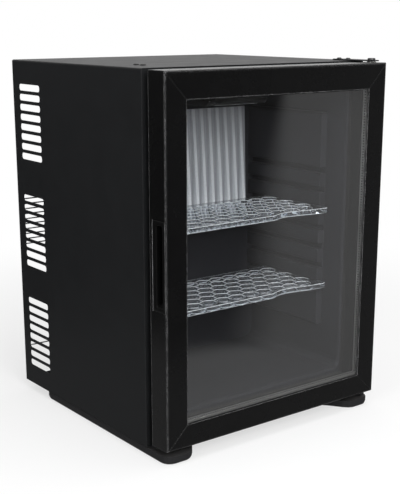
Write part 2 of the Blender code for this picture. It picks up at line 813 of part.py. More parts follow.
def build_insulation():
    """Foam between the wrap and the liner."""
    front = CABINET_FRONT + SHEET + CLEARANCE
    foam = prism("insulation_foam", wrap_outline(SHEET + CLEARANCE, PAN_TOP + CLEARANCE), "y", front,
                 PANEL_FRONT - CLEARANCE, pale_foam(), smooth=False)
    slack = LINER_SKIN + CLEARANCE
    room = box("room", (-CAVITY_HALF - slack, front - OVERCUT, CAVITY_FLOOR - slack),
               (CAVITY_HALF + slack, CAVITY_BACK + slack, CAVITY_TOP + slack))
    boolean(foam, room)
    lip_half = HALF_WIDTH - FRONT_FLANGE
    rebate = box("rebate", (-lip_half, front - OVERCUT, BASE_HEIGHT + PAN_FLANGE),
                 (lip_half, CABINET_FRONT + LIP_SKIN + CLEARANCE, CABINET_TOP - FRONT_FLANGE))
    boolean(foam, rebate)
    boolean(foam, wall_holes("foam_holes", CLEARANCE))
    boolean(foam, fixing_holes("foam_screw_holes", SCREW_RADIUS + 2 * CLEARANCE))
    return foam


def build_back_panel():
    """Steel panel that closes the foam, with its edges turned to the rear."""
    inset = SHEET + CLEARANCE
    bottom = PAN_TOP + CLEARANCE
    panel = prism("back_panel", wrap_outline(inset, bottom), "y", PANEL_FRONT, PANEL_BACK + PANEL_EDGE,
                  zinc_steel(), smooth=False)
    tray = prism("tray", wrap_outline(inset + SHEET, bottom + SHEET), "y", PANEL_BACK,
                 PANEL_BACK + PANEL_EDGE + OVERCUT)
    boolean(panel, tray)
    boolean(panel, wall_holes("panel_holes", CLEARANCE))
    return panel


def shelf_front(x):
    """Front edge of a shelf at x: straight, with one shallow notch for the fingers."""
    edge = CABINET_FRONT + SHELF_SETBACK
    if not NOTCH_START < x < NOTCH_END:
        return edge
    t = (x - NOTCH_START) / (NOTCH_END - NOTCH_START)
    return edge + NOTCH_DEPTH * math.sin(math.pi * t ** 0.6) ** 2


def shelf_outline():
    """Plan of a shelf, anticlockwise from its rear right corner."""
    half = SHELF_HALF
    front = CABINET_FRONT + SHELF_SETBACK
    back = front + SHELF_DEPTH
    outline = [(half, back), (-half, back)]
    outline += arc((-half + SHELF_CORNER, front + SHELF_CORNER), SHELF_CORNER, 180, 270, 4)
    steps = 12
    for k in range(steps + 1):
        x = NOTCH_START + (NOTCH_END - NOTCH_START) * k / steps
        outline.append((x, shelf_front(x)))
    corner = half - NOTCH_END
    outline += arc((NOTCH_END, front + corner), corner, -90, 0, 3)[1:]
    return outline


def hexagon(centre, wide, tall):
    """A hexagon with two sides along Y, from its width and its point-to-point length."""
    x, y = centre
    return [
        (x, y - tall / 2), (x + wide / 2, y - tall / 4), (x + wide / 2, y + tall / 4),
        (x, y + tall / 2), (x - wide / 2, y + tall / 4), (x - wide / 2, y - tall / 4),
    ]


def add_cells(bm, low, high):
    """Through cells in staggered rows: cells that would break the front band are cut back."""
    front = CABINET_FRONT + SHELF_SETBACK
    point_to_point = CELL_ROW_PITCH / 0.75
    wide = CELL_PITCH - CELL_WALL
    tall = point_to_point - CELL_WALL * 1.15
    reach = SHELF_HALF - SIDE_BAND - wide / 2
    for row in range(CELL_ROWS):
        shift = CELL_PITCH / 2 if row % 2 else 0.0
        y = front + FRONT_BAND + tall / 2 + row * CELL_ROW_PITCH
        columns = int((reach + CELL_PITCH) / CELL_PITCH)
        for column in range(-columns, columns + 1):
            x = column * CELL_PITCH + shift
            if abs(x) > reach:
                continue
            cell = [(cx, max(cy, shelf_front(cx) + FRONT_BAND)) for cx, cy in hexagon((x, y), wide, tall)]
            add_prism(bm, cell, "z", low, high)


def build_shelf(name, groove):
    """Clear moulded shelf: a slab with a plain front band and staggered six-sided cells."""
    bottom = groove_lip(groove) + CLEARANCE
    top = bottom + SHELF_HEIGHT
    shelf = prism(name, shelf_outline(), "z", bottom, top, clear_plastic())
    cells = bmesh.new()
    add_cells(cells, bottom - OVERCUT, top + OVERCUT)
    boolean(shelf, place_mesh("cells", cells, None))
    carry([shelf], joint_empty(name + "_slide", (0, CABINET_FRONT + SHELF_SETBACK, bottom)))
    return shelf


def plate_section(rib_height, back):
    """Section of the cold plate seen from above, ribs toward the front."""
    ribs = int(2 * PLATE_HALF_WIDTH / RIB_PITCH)
    face = back - PLATE_BASE
    points = [(-PLATE_HALF_WIDTH, back), (-PLATE_HALF_WIDTH, face)]
    for k in range(ribs):
        x = (k - (ribs - 1) / 2) * RIB_PITCH
        points += [(x - RIB_FOOT / 2, face), (x - RIB_TIP / 2, face - rib_height)]
        points += [(x + RIB_TIP / 2, face - rib_height), (x + RIB_FOOT / 2, face)]
    points += [(PLATE_HALF_WIDTH, face), (PLATE_HALF_WIDTH, back)]
    return points


def build_cold_plate():
    """Cast plate with upright ribs that run out toward its top, leaning forward at its foot."""
    top_back = CAVITY_BACK - CLEARANCE
    foot_back = top_back - PLATE_HEIGHT * math.tan(PLATE_LEAN)
    bm = bmesh.new()
    foot = [bm.verts.new((x, y, PLATE_BOTTOM)) for x, y in plate_section(RIB_HEIGHT, foot_back)]
    head_z = PLATE_BOTTOM + PLATE_HEIGHT
    head = [bm.verts.new((x, y, head_z)) for x, y in plate_section(RIB_TOP_HEIGHT, top_back)]
    bm.faces.new(foot)
    bm.faces.new(head)
    join_rings(bm, foot, head)
    return place_mesh("cold_plate", bm, bare_aluminium(), smooth=False)


def plate_back(z):
    """World Y of the cold plate's rear face at a height."""
    drop = PLATE_BOTTOM + PLATE_HEIGHT - z
    return CAVITY_BACK - CLEARANCE - drop * math.tan(PLATE_LEAN)


def build_drip_gutter():
    """Channel under the cold plate that leads its water to the drain hose."""
    low = PLATE_BOTTOM - GUTTER_DROP
    high = low + GUTTER_HEIGHT
    back = CAVITY_BACK - CLEARANCE
    front = back - GUTTER_REACH
    wall = GUTTER_WALL
    slant = GUTTER_SLANT
    outline = [(back, high), (back, low), (front + slant, low), (front, high), (front + wall, high)]
    outline += [(front + slant + wall, low + wall), (back - wall, low + wall), (back - wall, high)]
    gutter = prism("drip_gutter", outline, "x", -GUTTER_HALF_WIDTH, GUTTER_HALF_WIDTH, black_plastic())
    closed = [(back, high), (back, low), (front + slant, low), (front, high)]
    ends = bmesh.new()
    for side in (-1, 1):
        near = side * (GUTTER_HALF_WIDTH - wall)
        far = side * GUTTER_HALF_WIDTH
        add_prism(ends, closed, "x", min(near, far), max(near, far))
    boolean(gutter, place_mesh("ends", ends, None), "UNION")
    spout = hole_profile(HOSE_RADIUS + CLEARANCE, back - 2 * wall, back + OVERCUT)
    boolean(gutter, lathe("spout", spout, (HOSE_X, 0, drain_height()), axis="y", steps=16))
    return gutter


def build_drain():
    """Hose from the gutter through the rear wall, and the dish that the unit's warmth dries."""
    dish_floor = PAN_TOP + CLEARANCE
    dish_top = dish_floor + DISH_HEIGHT
    hose_y = PANEL_BACK + PANEL_EDGE + 2 * HOSE_RADIUS
    hose_end_x = DISH_LEFT + 2 * HOSE_RADIUS + DISH_WALL
    route = [
        (HOSE_X, CAVITY_BACK - GUTTER_WALL - CLEARANCE, drain_height()),
        (HOSE_X, hose_y, drain_height()),
        (HOSE_X, hose_y, dish_top + 3 * HOSE_BEND),
        (hose_end_x, hose_y, dish_top + HOSE_BEND),
        (hose_end_x, hose_y, dish_floor + 2 * HOSE_RADIUS),
    ]
    tube("drain_hose", rounded_path(route, HOSE_BEND, 3), HOSE_RADIUS, soft_rubber())
    front = PANEL_BACK + PANEL_EDGE + CLEARANCE
    rear = UNIT_Y + VESSEL_RADIUS
    outline = rounded_rectangle((DISH_LEFT, front), (DISH_RIGHT, rear), DISH_CORNER)
    dish = prism("drip_dish", outline, "z", dish_floor, dish_top, black_plastic())
    wall = DISH_WALL
    well = rounded_rectangle((DISH_LEFT + wall, front + wall), (DISH_RIGHT - wall, rear - wall),
                             DISH_CORNER - wall)
    boolean(dish, prism("well", well, "z", dish_floor + wall, dish_top + OVERCUT))


def build_ceiling_lamp():
    """Lamp housing under the ceiling with a clear lens, and the thermostat's knob on its front."""
    top = CAVITY_TOP - CLEARANCE
    low = top - LAMP_HEIGHT
    front = CABINET_FRONT + LAMP_SETBACK
    back = front + LAMP_DEPTH
    nose = LAMP_EDGE
    outline = [(back, top), (front, top), (front, low + nose), (front + nose, low), (back - 2 * nose, low)]
    housing = prism("lamp_housing", outline, "x", -LAMP_HALF_WIDTH, LAMP_HALF_WIDTH, black_plastic(),
                    smooth=False)
    pocket_low = (-LAMP_HALF_WIDTH + 2 * KNOB_RADIUS + LAMP_EDGE, front + 3 * LAMP_EDGE, low - OVERCUT)
    pocket_high = (LAMP_HALF_WIDTH - LAMP_EDGE, back - 3 * LAMP_EDGE, low + LAMP_HEIGHT / 2)
    boolean(housing, box("pocket", pocket_low, pocket_high))
    knob_x = -LAMP_HALF_WIDTH + KNOB_RADIUS + LAMP_EDGE / 2
    knob_z = low + LAMP_HEIGHT / 2
    spindle = hole_profile(SPINDLE_RADIUS + CLEARANCE, front - OVERCUT, front + KNOB_LENGTH)
    boolean(housing, lathe("spindle_hole", spindle, (knob_x, 0, knob_z), axis="y", steps=12))
    gap = CLEARANCE
    lens_low = (pocket_low[0] + gap, pocket_low[1] + gap, low - LENS_SKIN)
    lens_high = (pocket_high[0] - gap, pocket_high[1] - gap, pocket_high[2] - gap)
    lens = box("lamp_lens", lens_low, lens_high, lamp_plastic())
    hollow_low = (lens_low[0] + LENS_SKIN, lens_low[1] + LENS_SKIN, low)
    hollow_high = (lens_high[0] - LENS_SKIN, lens_high[1] - LENS_SKIN, lens_high[2] + OVERCUT)
    boolean(lens, box("lens_hollow", hollow_low, hollow_high))
    face = front - CLEARANCE
    tip = face - KNOB_LENGTH
    root = front + 0.8 * KNOB_LENGTH
    profile = [(0, root), (SPINDLE_RADIUS, root), (SPINDLE_RADIUS, face)]
    profile += [(KNOB_RADIUS, face), (KNOB_RADIUS * 0.94, tip + OVERCUT), (KNOB_RADIUS * 0.82, tip), (0, tip)]
    knob = lathe("thermostat_knob", profile, (knob_x, 0, knob_z), black_plastic(), axis="y", steps=20)
    bar = box("bar", (knob_x - OVERCUT, tip - OVERCUT, knob_z - KNOB_RADIUS * 0.8),
              (knob_x + OVERCUT, tip + KNOB_LENGTH / 2, knob_z + KNOB_RADIUS * 0.8))
    boolean(knob, bar, "UNION")
    carry([knob], joint_empty("thermostat_axis", (knob_x, front, knob_z)))


def frame_depth(depth):
    """World Y of a depth behind the door's front face."""
    return DOOR_FRONT + depth


def door_corner(inset, right, upper):
    """A corner of the door moved in: each side moves by the same share of its own face width."""
    share = inset / STILE_FACE
    x = DOOR_HALF - inset
    z = DOOR_TOP - TOP_RAIL_FACE * share if upper else DOOR_BOTTOM + BOTTOM_RAIL_FACE * share
    return (x if right else -x, z)


def door_ring(name, section, material, lift=0.0):
    """Run a section of (inset, depth) points all round the door with mitred corners, its foot lifted."""
    bm = bmesh.new()
    loops = []
    for right, upper in ((False, False), (True, False), (True, True), (False, True)):
        loop = []
        for inset, depth in section:
            x, z = door_corner(inset, right, upper)
            loop.append(bm.verts.new((x, frame_depth(depth), z if upper else z + lift)))
        loops.append(loop)
    for start, end in zip(loops, loops[1:] + loops[:1]):
        join_rings(bm, start, end)
    return place_mesh(name, bm, material)


DOOR_SIDES = {
    "left": ((False, False), (False, True)),
    "right": ((True, False), (True, True)),
    "bottom": ((False, False), (True, False)),
    "top": ((False, True), (True, True)),
}


def door_member(name, section, side, material, shortening=MITRE_GAP):
    """One length of a section along a side of the door, mitred and a hair short at both ends."""
    bm = bmesh.new()
    loops = []
    for end, (right, upper) in zip((1, -1), DOOR_SIDES[side]):
        loop = []
        for inset, depth in section:
            x, z = door_corner(inset, right, upper)
            if side in ("left", "right"):
                z += end * shortening
            else:
                x += end * shortening
            loop.append(bm.verts.new((x, frame_depth(depth), z)))
        loops.append(loop)
        bm.faces.new(loop)
    join_rings(bm, *loops)
    return place_mesh(name, bm, material)


def bush_holes():
    """Holes in the top and bottom edges of the door frame for the hinge bushes."""
    bm = bmesh.new()
    depth = BUSH_LENGTH + 2 * CLEARANCE
    centre = (HINGE_X, HINGE_Y, 0)
    radius = BUSH_RADIUS + CLEARANCE
    add_lathe(bm, hole_profile(radius, DOOR_TOP - depth, DOOR_TOP + OVERCUT), centre)
    add_lathe(bm, hole_profile(radius, DOOR_BOTTOM - OVERCUT, DOOR_BOTTOM + depth), centre)
    return place_mesh("bush_holes", bm, None)


def build_door_frame():
    """Two stiles and two rails: round outer edge, flat face, thin lip over the glass, mitred ends."""
    section = arc((FRAME_ROUND, FRAME_ROUND), FRAME_ROUND, 180, 270, 3)
    section += [(FRAME_LAND, 0), (STILE_FACE - LIP_BEVEL, FRAME_FALL), (STILE_FACE, FRAME_FALL + LIP_BEVEL)]
    section += [(STILE_FACE, LIP_BACK), (FRAME_BODY, LIP_BACK), (FRAME_BODY, FRAME_DEPTH), (0, FRAME_DEPTH)]
    names = {"left": "door_stile_left", "right": "door_stile_right",
             "bottom": "door_rail_bottom", "top": "door_rail_top"}
    members = {side: door_member(name, section, side, black_plastic()) for side, name in names.items()}
    recess = box("recess", (-DOOR_HALF - OVERCUT, frame_depth(GRIP_FRONT), GRIP_BOTTOM),
                 (-DOOR_HALF + GRIP_DEPTH + CLEARANCE, frame_depth(GRIP_REAR), GRIP_TOP))
    boolean(members["left"], recess)
    for side in ("right", "bottom", "top"):
        boolean(members[side], bush_holes())
    return list(members.values())


def glass_front():
    return LIP_BACK + CLEARANCE


def spacer_front():
    return glass_front() + GLASS + CLEARANCE


def glass_rear():
    return spacer_front() + SPACER_DEPTH + CLEARANCE


def build_glazing():
    """Two panes with a metal spacer between them, set back from their edges."""
    edge = SPACER_INNER - SPACER_WIDTH - SEALANT_DEPTH
    low_x, low_z = door_corner(edge, False, False)
    high_x, high_z = door_corner(edge, True, True)
    panes = []
    for name, depth in (("outer_glass", glass_front()), ("inner_glass", glass_rear())):
        panes.append(box(name, (low_x, frame_depth(depth), low_z),
                         (high_x, frame_depth(depth + GLASS), high_z), clear_glass()))
    front = spacer_front()
    back = front + SPACER_DEPTH
    outer = SPACER_INNER - SPACER_WIDTH
    nick = SPACER_NICK
    section = [(outer, front + nick), (outer + nick, front), (SPACER_INNER, front), (SPACER_INNER, back)]
    section += [(outer + nick, back), (outer, back - nick)]
    spacer = door_ring("glazing_spacer", section, bare_aluminium(), SPACER_LIFT)
    return panes + [spacer]


def build_glazing_beads():
    """Beads behind the glass: each traps the pane, closes the frame and holds the seal's dart."""
    start = FRAME_DEPTH + CLEARANCE
    press = glass_rear() + GLASS + CLEARANCE
    step = FRAME_BODY + CLEARANCE
    low = SEAL_DART - DART_WIDTH / 2 - CLEARANCE
    high = SEAL_DART + DART_WIDTH / 2 + CLEARANCE
    floor = DOOR_THICKNESS - DART_DEPTH - CLEARANCE
    depth = DOOR_THICKNESS
    edge = BEAD_EDGE
    section = [(BEAD_INSET, start), (step, start), (step, press), (BEAD_INNER - edge, press)]
    section += [(BEAD_INNER, press + edge), (BEAD_INNER, depth - edge), (BEAD_INNER - edge, depth)]
    section += [(high, depth), (high, floor), (low, floor), (low, depth)]
    section += [(BEAD_INSET + edge, depth), (BEAD_INSET, depth - edge)]
    return [door_member("glazing_bead_" + side, section, side, black_plastic()) for side in DOOR_SIDES]


def build_door_seal():
    """Soft seal: a dart in the beads' groove, a waist, and a head with a pocket for the magnets."""
    base = DOOR_THICKNESS
    foot = base + CLEARANCE
    head = base + DOOR_GAP - CLEARANCE
    waist = base + DOOR_GAP * 0.45
    heel = foot + 2 * SEAL_SKIN
    skin = SEAL_SKIN
    pocket_high = head - skin
    pocket_low = pocket_high - MAGNET_THICKNESS - 2 * CLEARANCE
    pocket_outer = SEAL_OUTER + skin
    tuck = 4 * skin
    low = SEAL_DART - DART_WIDTH / 2
    high = SEAL_DART + DART_WIDTH / 2
    section = [(low, base - DART_DEPTH), (high, base - DART_DEPTH), (high, foot), (SEAL_INNER, foot)]
    section += [(SEAL_INNER - tuck / 2, heel), (SEAL_INNER - tuck, waist), (SEAL_INNER, pocket_low - skin)]
    section += [(SEAL_INNER, pocket_low), (pocket_outer, pocket_low), (pocket_outer, pocket_high)]
    section += [(SEAL_INNER, pocket_high), (SEAL_INNER, head), (SEAL_OUTER, head)]
    section += [(SEAL_OUTER, pocket_low - skin), (SEAL_OUTER + tuck, waist), (SEAL_OUTER + tuck / 2, heel)]
    section += [(SEAL_OUTER, foot), (low, foot)]
    seal = door_ring("door_seal", section, soft_rubber())
    outer = pocket_outer + CLEARANCE
    inner = outer + MAGNET_WIDTH
    near = pocket_low + CLEARANCE
    far = near + MAGNET_THICKNESS
    strip = [(outer, near), (inner, near), (inner, far), (outer, far)]
    magnets = [door_member("seal_magnet_" + side, strip, side, unit_paint()) for side in DOOR_SIDES]
    return [seal] + magnets


def build_door_grip():
    """Insert in the free edge of the door: a cup for the fingers, undercut behind its lip."""
    gap = CLEARANCE
    left = -DOOR_HALF
    grip = box("door_grip", (left, frame_depth(GRIP_FRONT) + gap, GRIP_BOTTOM + gap),
               (left + GRIP_DEPTH, frame_depth(GRIP_REAR) - gap, GRIP_TOP - gap), black_plastic())
    low = GRIP_BOTTOM + GRIP_MOUTH_MARGIN
    high = GRIP_TOP - GRIP_MOUTH_MARGIN
    mouth = rounded_rectangle((frame_depth(GRIP_MOUTH_FRONT), low), (frame_depth(GRIP_MOUTH_REAR), high),
                              2 * GRIP_WALL)
    floor = left + GRIP_DEPTH - GRIP_WALL
    boolean(grip, prism("mouth", mouth, "x", left - OVERCUT, floor))
    undercut = box("undercut", (left + 2 * GRIP_WALL, frame_depth(GRIP_FRONT) + gap + GRIP_WALL, low),
                   (floor, frame_depth(GRIP_MOUTH_REAR), high))
    boolean(grip, undercut)
    return grip


def build_bush(name, face, sign):
    """Flanged bush in the door for a hinge pin: the flange lies on the door's edge."""
    bore = PIN_RADIUS + CLEARANCE
    seat = face + sign * CLEARANCE
    outer_end = seat + sign * BUSH_FLANGE
    inner_end = face - sign * BUSH_LENGTH
    profile = [(bore, outer_end), (BUSH_FLANGE_RADIUS, outer_end), (BUSH_FLANGE_RADIUS, seat)]
    profile += [(BUSH_RADIUS, seat), (BUSH_RADIUS, inner_end), (bore, inner_end)]
    return lathe(name, profile, (HINGE_X, HINGE_Y, 0), lamp_plastic(), steps=12)


def screw_profile(seat, sign):
    """Pan head and shank of a screw whose head sits at seat and stands out along sign."""
    tip = seat - sign * SCREW_LENGTH
    crown = seat + sign * SCREW_HEAD_HEIGHT
    shoulder = seat + sign * SCREW_HEAD_HEIGHT * 0.55
    point = [(0, tip), (SCREW_RADIUS * 0.5, tip), (SCREW_RADIUS, tip + sign * SCREW_RADIUS)]
    head = [(SCREW_HEAD, seat), (SCREW_HEAD * 0.93, shoulder), (SCREW_HEAD * 0.55, crown), (0, crown)]
    return point + [(SCREW_RADIUS, seat)] + head


def build_top_hinge():
    """Strip plate on the cabinet, its pin with a cap, and two pan-head screws."""
    half = HINGE_PLATE_WIDTH / 2
    low = CABINET_TOP + CLEARANCE
    high = low + HINGE_PLATE
    rear = CABINET_FRONT + max(HINGE_SCREW_REACH) + HINGE_PLATE_END
    outline = arc((HINGE_X, HINGE_Y), half, 180, 360, 8)
    outline += arc((HINGE_X, rear - half), half, 0, 180, 6)
    plate = prism("top_hinge_plate", outline, "z", low, high, black_paint())
    holes = bmesh.new()
    pin_hole = hole_profile(PIN_RADIUS + CLEARANCE, low - OVERCUT, high + OVERCUT)
    add_lathe(holes, pin_hole, (HINGE_X, HINGE_Y, 0))
    screw_hole = hole_profile(SCREW_RADIUS + CLEARANCE, low - OVERCUT, high + OVERCUT)
    for reach in HINGE_SCREW_REACH:
        add_lathe(holes, screw_hole, (HINGE_X, CABINET_FRONT + reach, 0), "z", SCREW_STEPS)
    boolean(plate, place_mesh("plate_holes", holes, None))
    cap = high + CLEARANCE
    cap_top = cap + PIN_CAP_HEIGHT
    tip = DOOR_TOP - PIN_REACH
    profile = [(0, tip), (PIN_RADIUS * 0.8, tip), (PIN_RADIUS, tip + OVERCUT), (PIN_RADIUS, cap)]
    profile += [(PIN_CAP_RADIUS, cap), (PIN_CAP_RADIUS, cap_top - OVERCUT)]
    profile += [(PIN_CAP_RADIUS - OVERCUT, cap_top), (0, cap_top)]
    lathe("top_hinge_pin", profile, (HINGE_X, HINGE_Y, 0), black_paint())
    for number, reach in enumerate(HINGE_SCREW_REACH, 1):
        lathe("top_hinge_screw_%d" % number, screw_profile(high + CLEARANCE, 1),
              (HINGE_X, CABINET_FRONT + reach, 0), black_paint(), steps=SCREW_STEPS)


def build_hole_plugs():
    """Caps in the two spare holes of the top."""
    seat = CABINET_TOP + CLEARANCE
    tip = seat - SCREW_LENGTH * 0.7
    crown = seat + PLUG_RISE
    profile = [(0, tip), (SCREW_RADIUS * 0.8, tip), (SCREW_RADIUS, tip + OVERCUT), (SCREW_RADIUS, seat)]
    profile += [(PLUG_RADIUS, seat), (PLUG_RADIUS * 0.94, seat + PLUG_RISE * 0.6)]
    profile += [(PLUG_RADIUS * 0.6, crown), (0, crown)]
    for number, reach in enumerate(PLUG_REACH, 1):
        lathe("hole_plug_%d" % number, profile, (PLUG_X, CABINET_FRONT + reach, 0), black_plastic(),
              steps=SCREW_STEPS)


def build_bottom_hinge():
    """Angle bracket on the front flange, with a fixed pin that stands up into the door."""
    leaf_back = CABINET_FRONT - CLEARANCE
    leaf_front = leaf_back - BRACKET_SHEET
    low = BRACKET_BOTTOM
    top = low + BRACKET_SHEET
    left = HINGE_X - BRACKET_LEFT
    right = HINGE_X + BRACKET_RIGHT
    shoulder = leaf_back - BRACKET_NOSE
    outline = [(right, leaf_back), (left, leaf_back), (left, shoulder)]
    outline += arc((HINGE_X, HINGE_Y), BRACKET_NOSE, 180, 360, 8)
    outline += [(right, shoulder)]
    bracket = prism("bottom_hinge_bracket", outline, "z", low, top, black_paint())
    leaf = box("leaf", (left, leaf_front, low), (right, leaf_back, BRACKET_TOP))
    boolean(bracket, leaf, "UNION")
    holes = bmesh.new()
    pin_hole = hole_profile(PIN_RADIUS + CLEARANCE, low - OVERCUT, top + OVERCUT)
    add_lathe(holes, pin_hole, (HINGE_X, HINGE_Y, 0))
    screw_hole = hole_profile(SCREW_RADIUS + CLEARANCE, leaf_front - OVERCUT, leaf_back + OVERCUT)
    for offset in BRACKET_SCREW_OFFSETS:
        add_lathe(holes, screw_hole, (HINGE_X + offset, 0, bracket_screw_height()), "y", SCREW_STEPS)
    boolean(bracket, place_mesh("bracket_holes", holes, None))
    collar = top + CLEARANCE
    collar_top = DOOR_BOTTOM - BUSH_FLANGE - 2 * CLEARANCE
    tip = DOOR_BOTTOM + PIN_REACH
    profile = [(0, low), (PIN_RADIUS, low), (PIN_RADIUS, collar), (COLLAR_RADIUS, collar)]
    profile += [(COLLAR_RADIUS, collar_top), (PIN_RADIUS, collar_top), (PIN_RADIUS, tip - OVERCUT)]
    profile += [(PIN_RADIUS * 0.8, tip), (0, tip)]
    lathe("bottom_hinge_pin", profile, (HINGE_X, HINGE_Y, 0), zinc_steel(), steps=12)
    for number, offset in enumerate(BRACKET_SCREW_OFFSETS, 1):
        lathe("bottom_hinge_screw_%d" % number, screw_profile(leaf_front - CLEARANCE, -1),
              (HINGE_X + offset, 0, bracket_screw_height()), zinc_steel(), "y", SCREW_STEPS)


def coil_start():
    """Height where the lowest run of the coil begins."""
    return VESSEL_Z + VESSEL_RADIUS + CLEARANCE + COIL_STUB


def build_absorber():
    """Vessel at the foot of the unit, and the tube that winds up from it in sloping runs."""
    length = VESSEL_HALF_LENGTH
    radius = VESSEL_RADIUS
    profile = [(0, -length), (radius * 0.6, -length + radius * 0.15), (radius, -length + radius * 0.55)]
    profile += [(radius, length - radius * 0.55), (radius * 0.6, length - radius * 0.15), (0, length)]
    lathe("absorber_vessel", profile, (COIL_CENTRE_X, UNIT_Y, VESSEL_Z), unit_paint(), "x", 16)
    left = COIL_CENTRE_X - COIL_HALF_WIDTH
    right = COIL_CENTRE_X + COIL_HALF_WIDTH
    z = coil_start()
    stub_x = right - 2 * COIL_BEND
    corners = [(stub_x, UNIT_Y, z - COIL_STUB), (stub_x, UNIT_Y, z)]
    for run in range(COIL_RUNS):
        side = right if run % 2 else left
        corners.append((side, UNIT_Y, z + COIL_FALL))
        z += COIL_PITCH
        corners.append((side, UNIT_Y, z))
    top = EVAPORATOR_Z - TUBE_RADIUS - CLEARANCE
    corners[-1] = (side, UNIT_Y, top)
    tube("absorber_coil", rounded_path(corners, COIL_BEND, 3), TUBE_RADIUS, unit_paint())


def build_unit_strap():
    """Sheet strap on the rear panel whose two arms reach out to the coil."""
    low_y = PANEL_BACK + CLEARANCE
    high_y = UNIT_Y - TUBE_RADIUS - CLEARANCE
    left = COIL_CENTRE_X - STRAP_HALF_WIDTH
    right = COIL_CENTRE_X + STRAP_HALF_WIDTH
    t = STRAP_SHEET
    outline = [(left, low_y), (right, low_y), (right, high_y), (right - t, high_y), (right - t, low_y + t)]
    outline += [(left + t, low_y + t), (left + t, high_y), (left, high_y)]
    middle = coil_start() + 3 * COIL_PITCH + COIL_FALL / 2
    prism("unit_strap", outline, "z", middle - STRAP_HEIGHT / 2, middle + STRAP_HEIGHT / 2, zinc_steel(),
          smooth=False)


def build_boiler():
    """Boiler tube and its heater, the wool and jacket round them, and the tube that feeds it."""
    neck = JACKET_TOP + NECK_LENGTH
    profile = [(0, BOILER_BOTTOM), (BOILER_RADIUS, BOILER_BOTTOM), (BOILER_RADIUS, neck)]
    profile += [(TUBE_RADIUS, neck + NECK_LENGTH), (TUBE_RADIUS, BOILER_TOP), (0, BOILER_TOP)]
    lathe("boiler_column", profile, (BOILER_X, UNIT_Y, 0), unit_paint(), steps=16)
    heater_y = UNIT_Y - BOILER_RADIUS - HEATER_RADIUS - HEATER_WALL
    heater_top = HEATER_BOTTOM + HEATER_LENGTH
    lathe("heater_cartridge", hole_profile(HEATER_RADIUS, HEATER_BOTTOM, heater_top), (BOILER_X, heater_y, 0),
          zinc_steel(), steps=12)
    inner = JACKET_RADIUS - JACKET_SHEET
    profile = [(inner, JACKET_BOTTOM), (JACKET_RADIUS, JACKET_BOTTOM), (JACKET_RADIUS, JACKET_TOP),
               (inner, JACKET_TOP)]
    lathe("boiler_jacket", profile, (BOILER_X, UNIT_Y, 0), zinc_steel(), steps=20)
    wool_profile = hole_profile(inner - CLEARANCE, JACKET_BOTTOM + OVERCUT, JACKET_TOP - OVERCUT)
    wool = lathe("boiler_insulation", wool_profile, (BOILER_X, UNIT_Y, 0), pale_foam(), steps=20)
    rooms = bmesh.new()
    column_room = hole_profile(BOILER_RADIUS + CLEARANCE, JACKET_BOTTOM - OVERCUT, JACKET_TOP + OVERCUT)
    add_lathe(rooms, column_room, (BOILER_X, UNIT_Y, 0), "z", 16)
    heater_room = hole_profile(HEATER_RADIUS + CLEARANCE, JACKET_BOTTOM - OVERCUT, heater_top + CLEARANCE)
    add_lathe(rooms, heater_room, (BOILER_X, heater_y, 0), "z", 12)
    boolean(wool, place_mesh("rooms", rooms, None))
    vessel_end = COIL_CENTRE_X + VESSEL_HALF_LENGTH + CLEARANCE
    turn_x = (vessel_end + BOILER_X - JACKET_RADIUS) / 2
    column_side = BOILER_X - BOILER_RADIUS - CLEARANCE
    route = [(vessel_end, UNIT_Y, VESSEL_Z), (turn_x, UNIT_Y, VESSEL_Z), (turn_x, UNIT_Y, LIQUID_Z),
             (column_side, UNIT_Y, LIQUID_Z)]
    tube("liquid_tube", rounded_path(route, 2 * LIQUID_RADIUS, 4), LIQUID_RADIUS, unit_paint())


def build_condenser():
    """Condenser tube over the boiler with its pack of fins, and the tube to the cold plate."""
    route = [(BOILER_X, UNIT_Y, BOILER_TOP + CLEARANCE), (BOILER_X, UNIT_Y, CONDENSER_Z),
             (DOWN_LEG_X, UNIT_Y, CONDENSER_Z), (DOWN_LEG_X, UNIT_Y, DOWN_LEG_BOTTOM)]
    tube("condenser_tube", rounded_path(route, UNIT_BEND, 4), TUBE_RADIUS, unit_paint())
    tube_end = plate_back(EVAPORATOR_Z + TUBE_RADIUS) + CLEARANCE
    route = [(DOWN_LEG_X, UNIT_Y, DOWN_LEG_BOTTOM - CLEARANCE), (DOWN_LEG_X, UNIT_Y, EVAPORATOR_Z),
             (0, UNIT_Y, EVAPORATOR_Z), (0, tube_end, EVAPORATOR_Z)]
    tube("evaporator_tube", rounded_path(route, UNIT_BEND, 4), TUBE_RADIUS, unit_paint())
    span = (FIN_COUNT - 1) * FIN_PITCH
    plates = bmesh.new()
    for k in range(FIN_COUNT):
        x = COIL_CENTRE_X - span / 2 + k * FIN_PITCH
        add_box(plates, (x - FIN_THICKNESS / 2, UNIT_Y - FIN_DEPTH / 2, CONDENSER_Z - FIN_HEIGHT / 2),
                (x + FIN_THICKNESS / 2, UNIT_Y + FIN_DEPTH / 2, CONDENSER_Z + FIN_HEIGHT / 2))
    fins = place_mesh("condenser_fins", plates, bare_aluminium(), smooth=False)
    reach = span / 2 + FIN_PITCH / 2
    bore = TUBE_RADIUS + CLEARANCE
    collar = lathe("collar", hole_profile(bore + FIN_COLLAR, -reach, reach),
                   (COIL_CENTRE_X, UNIT_Y, CONDENSER_Z), axis="x", steps=12)
    boolean(fins, collar, "UNION")
    through = lathe("through", hole_profile(bore, -reach - OVERCUT, reach + OVERCUT),
                    (COIL_CENTRE_X, UNIT_Y, CONDENSER_Z), axis="x", steps=12)
    boolean(fins, through)


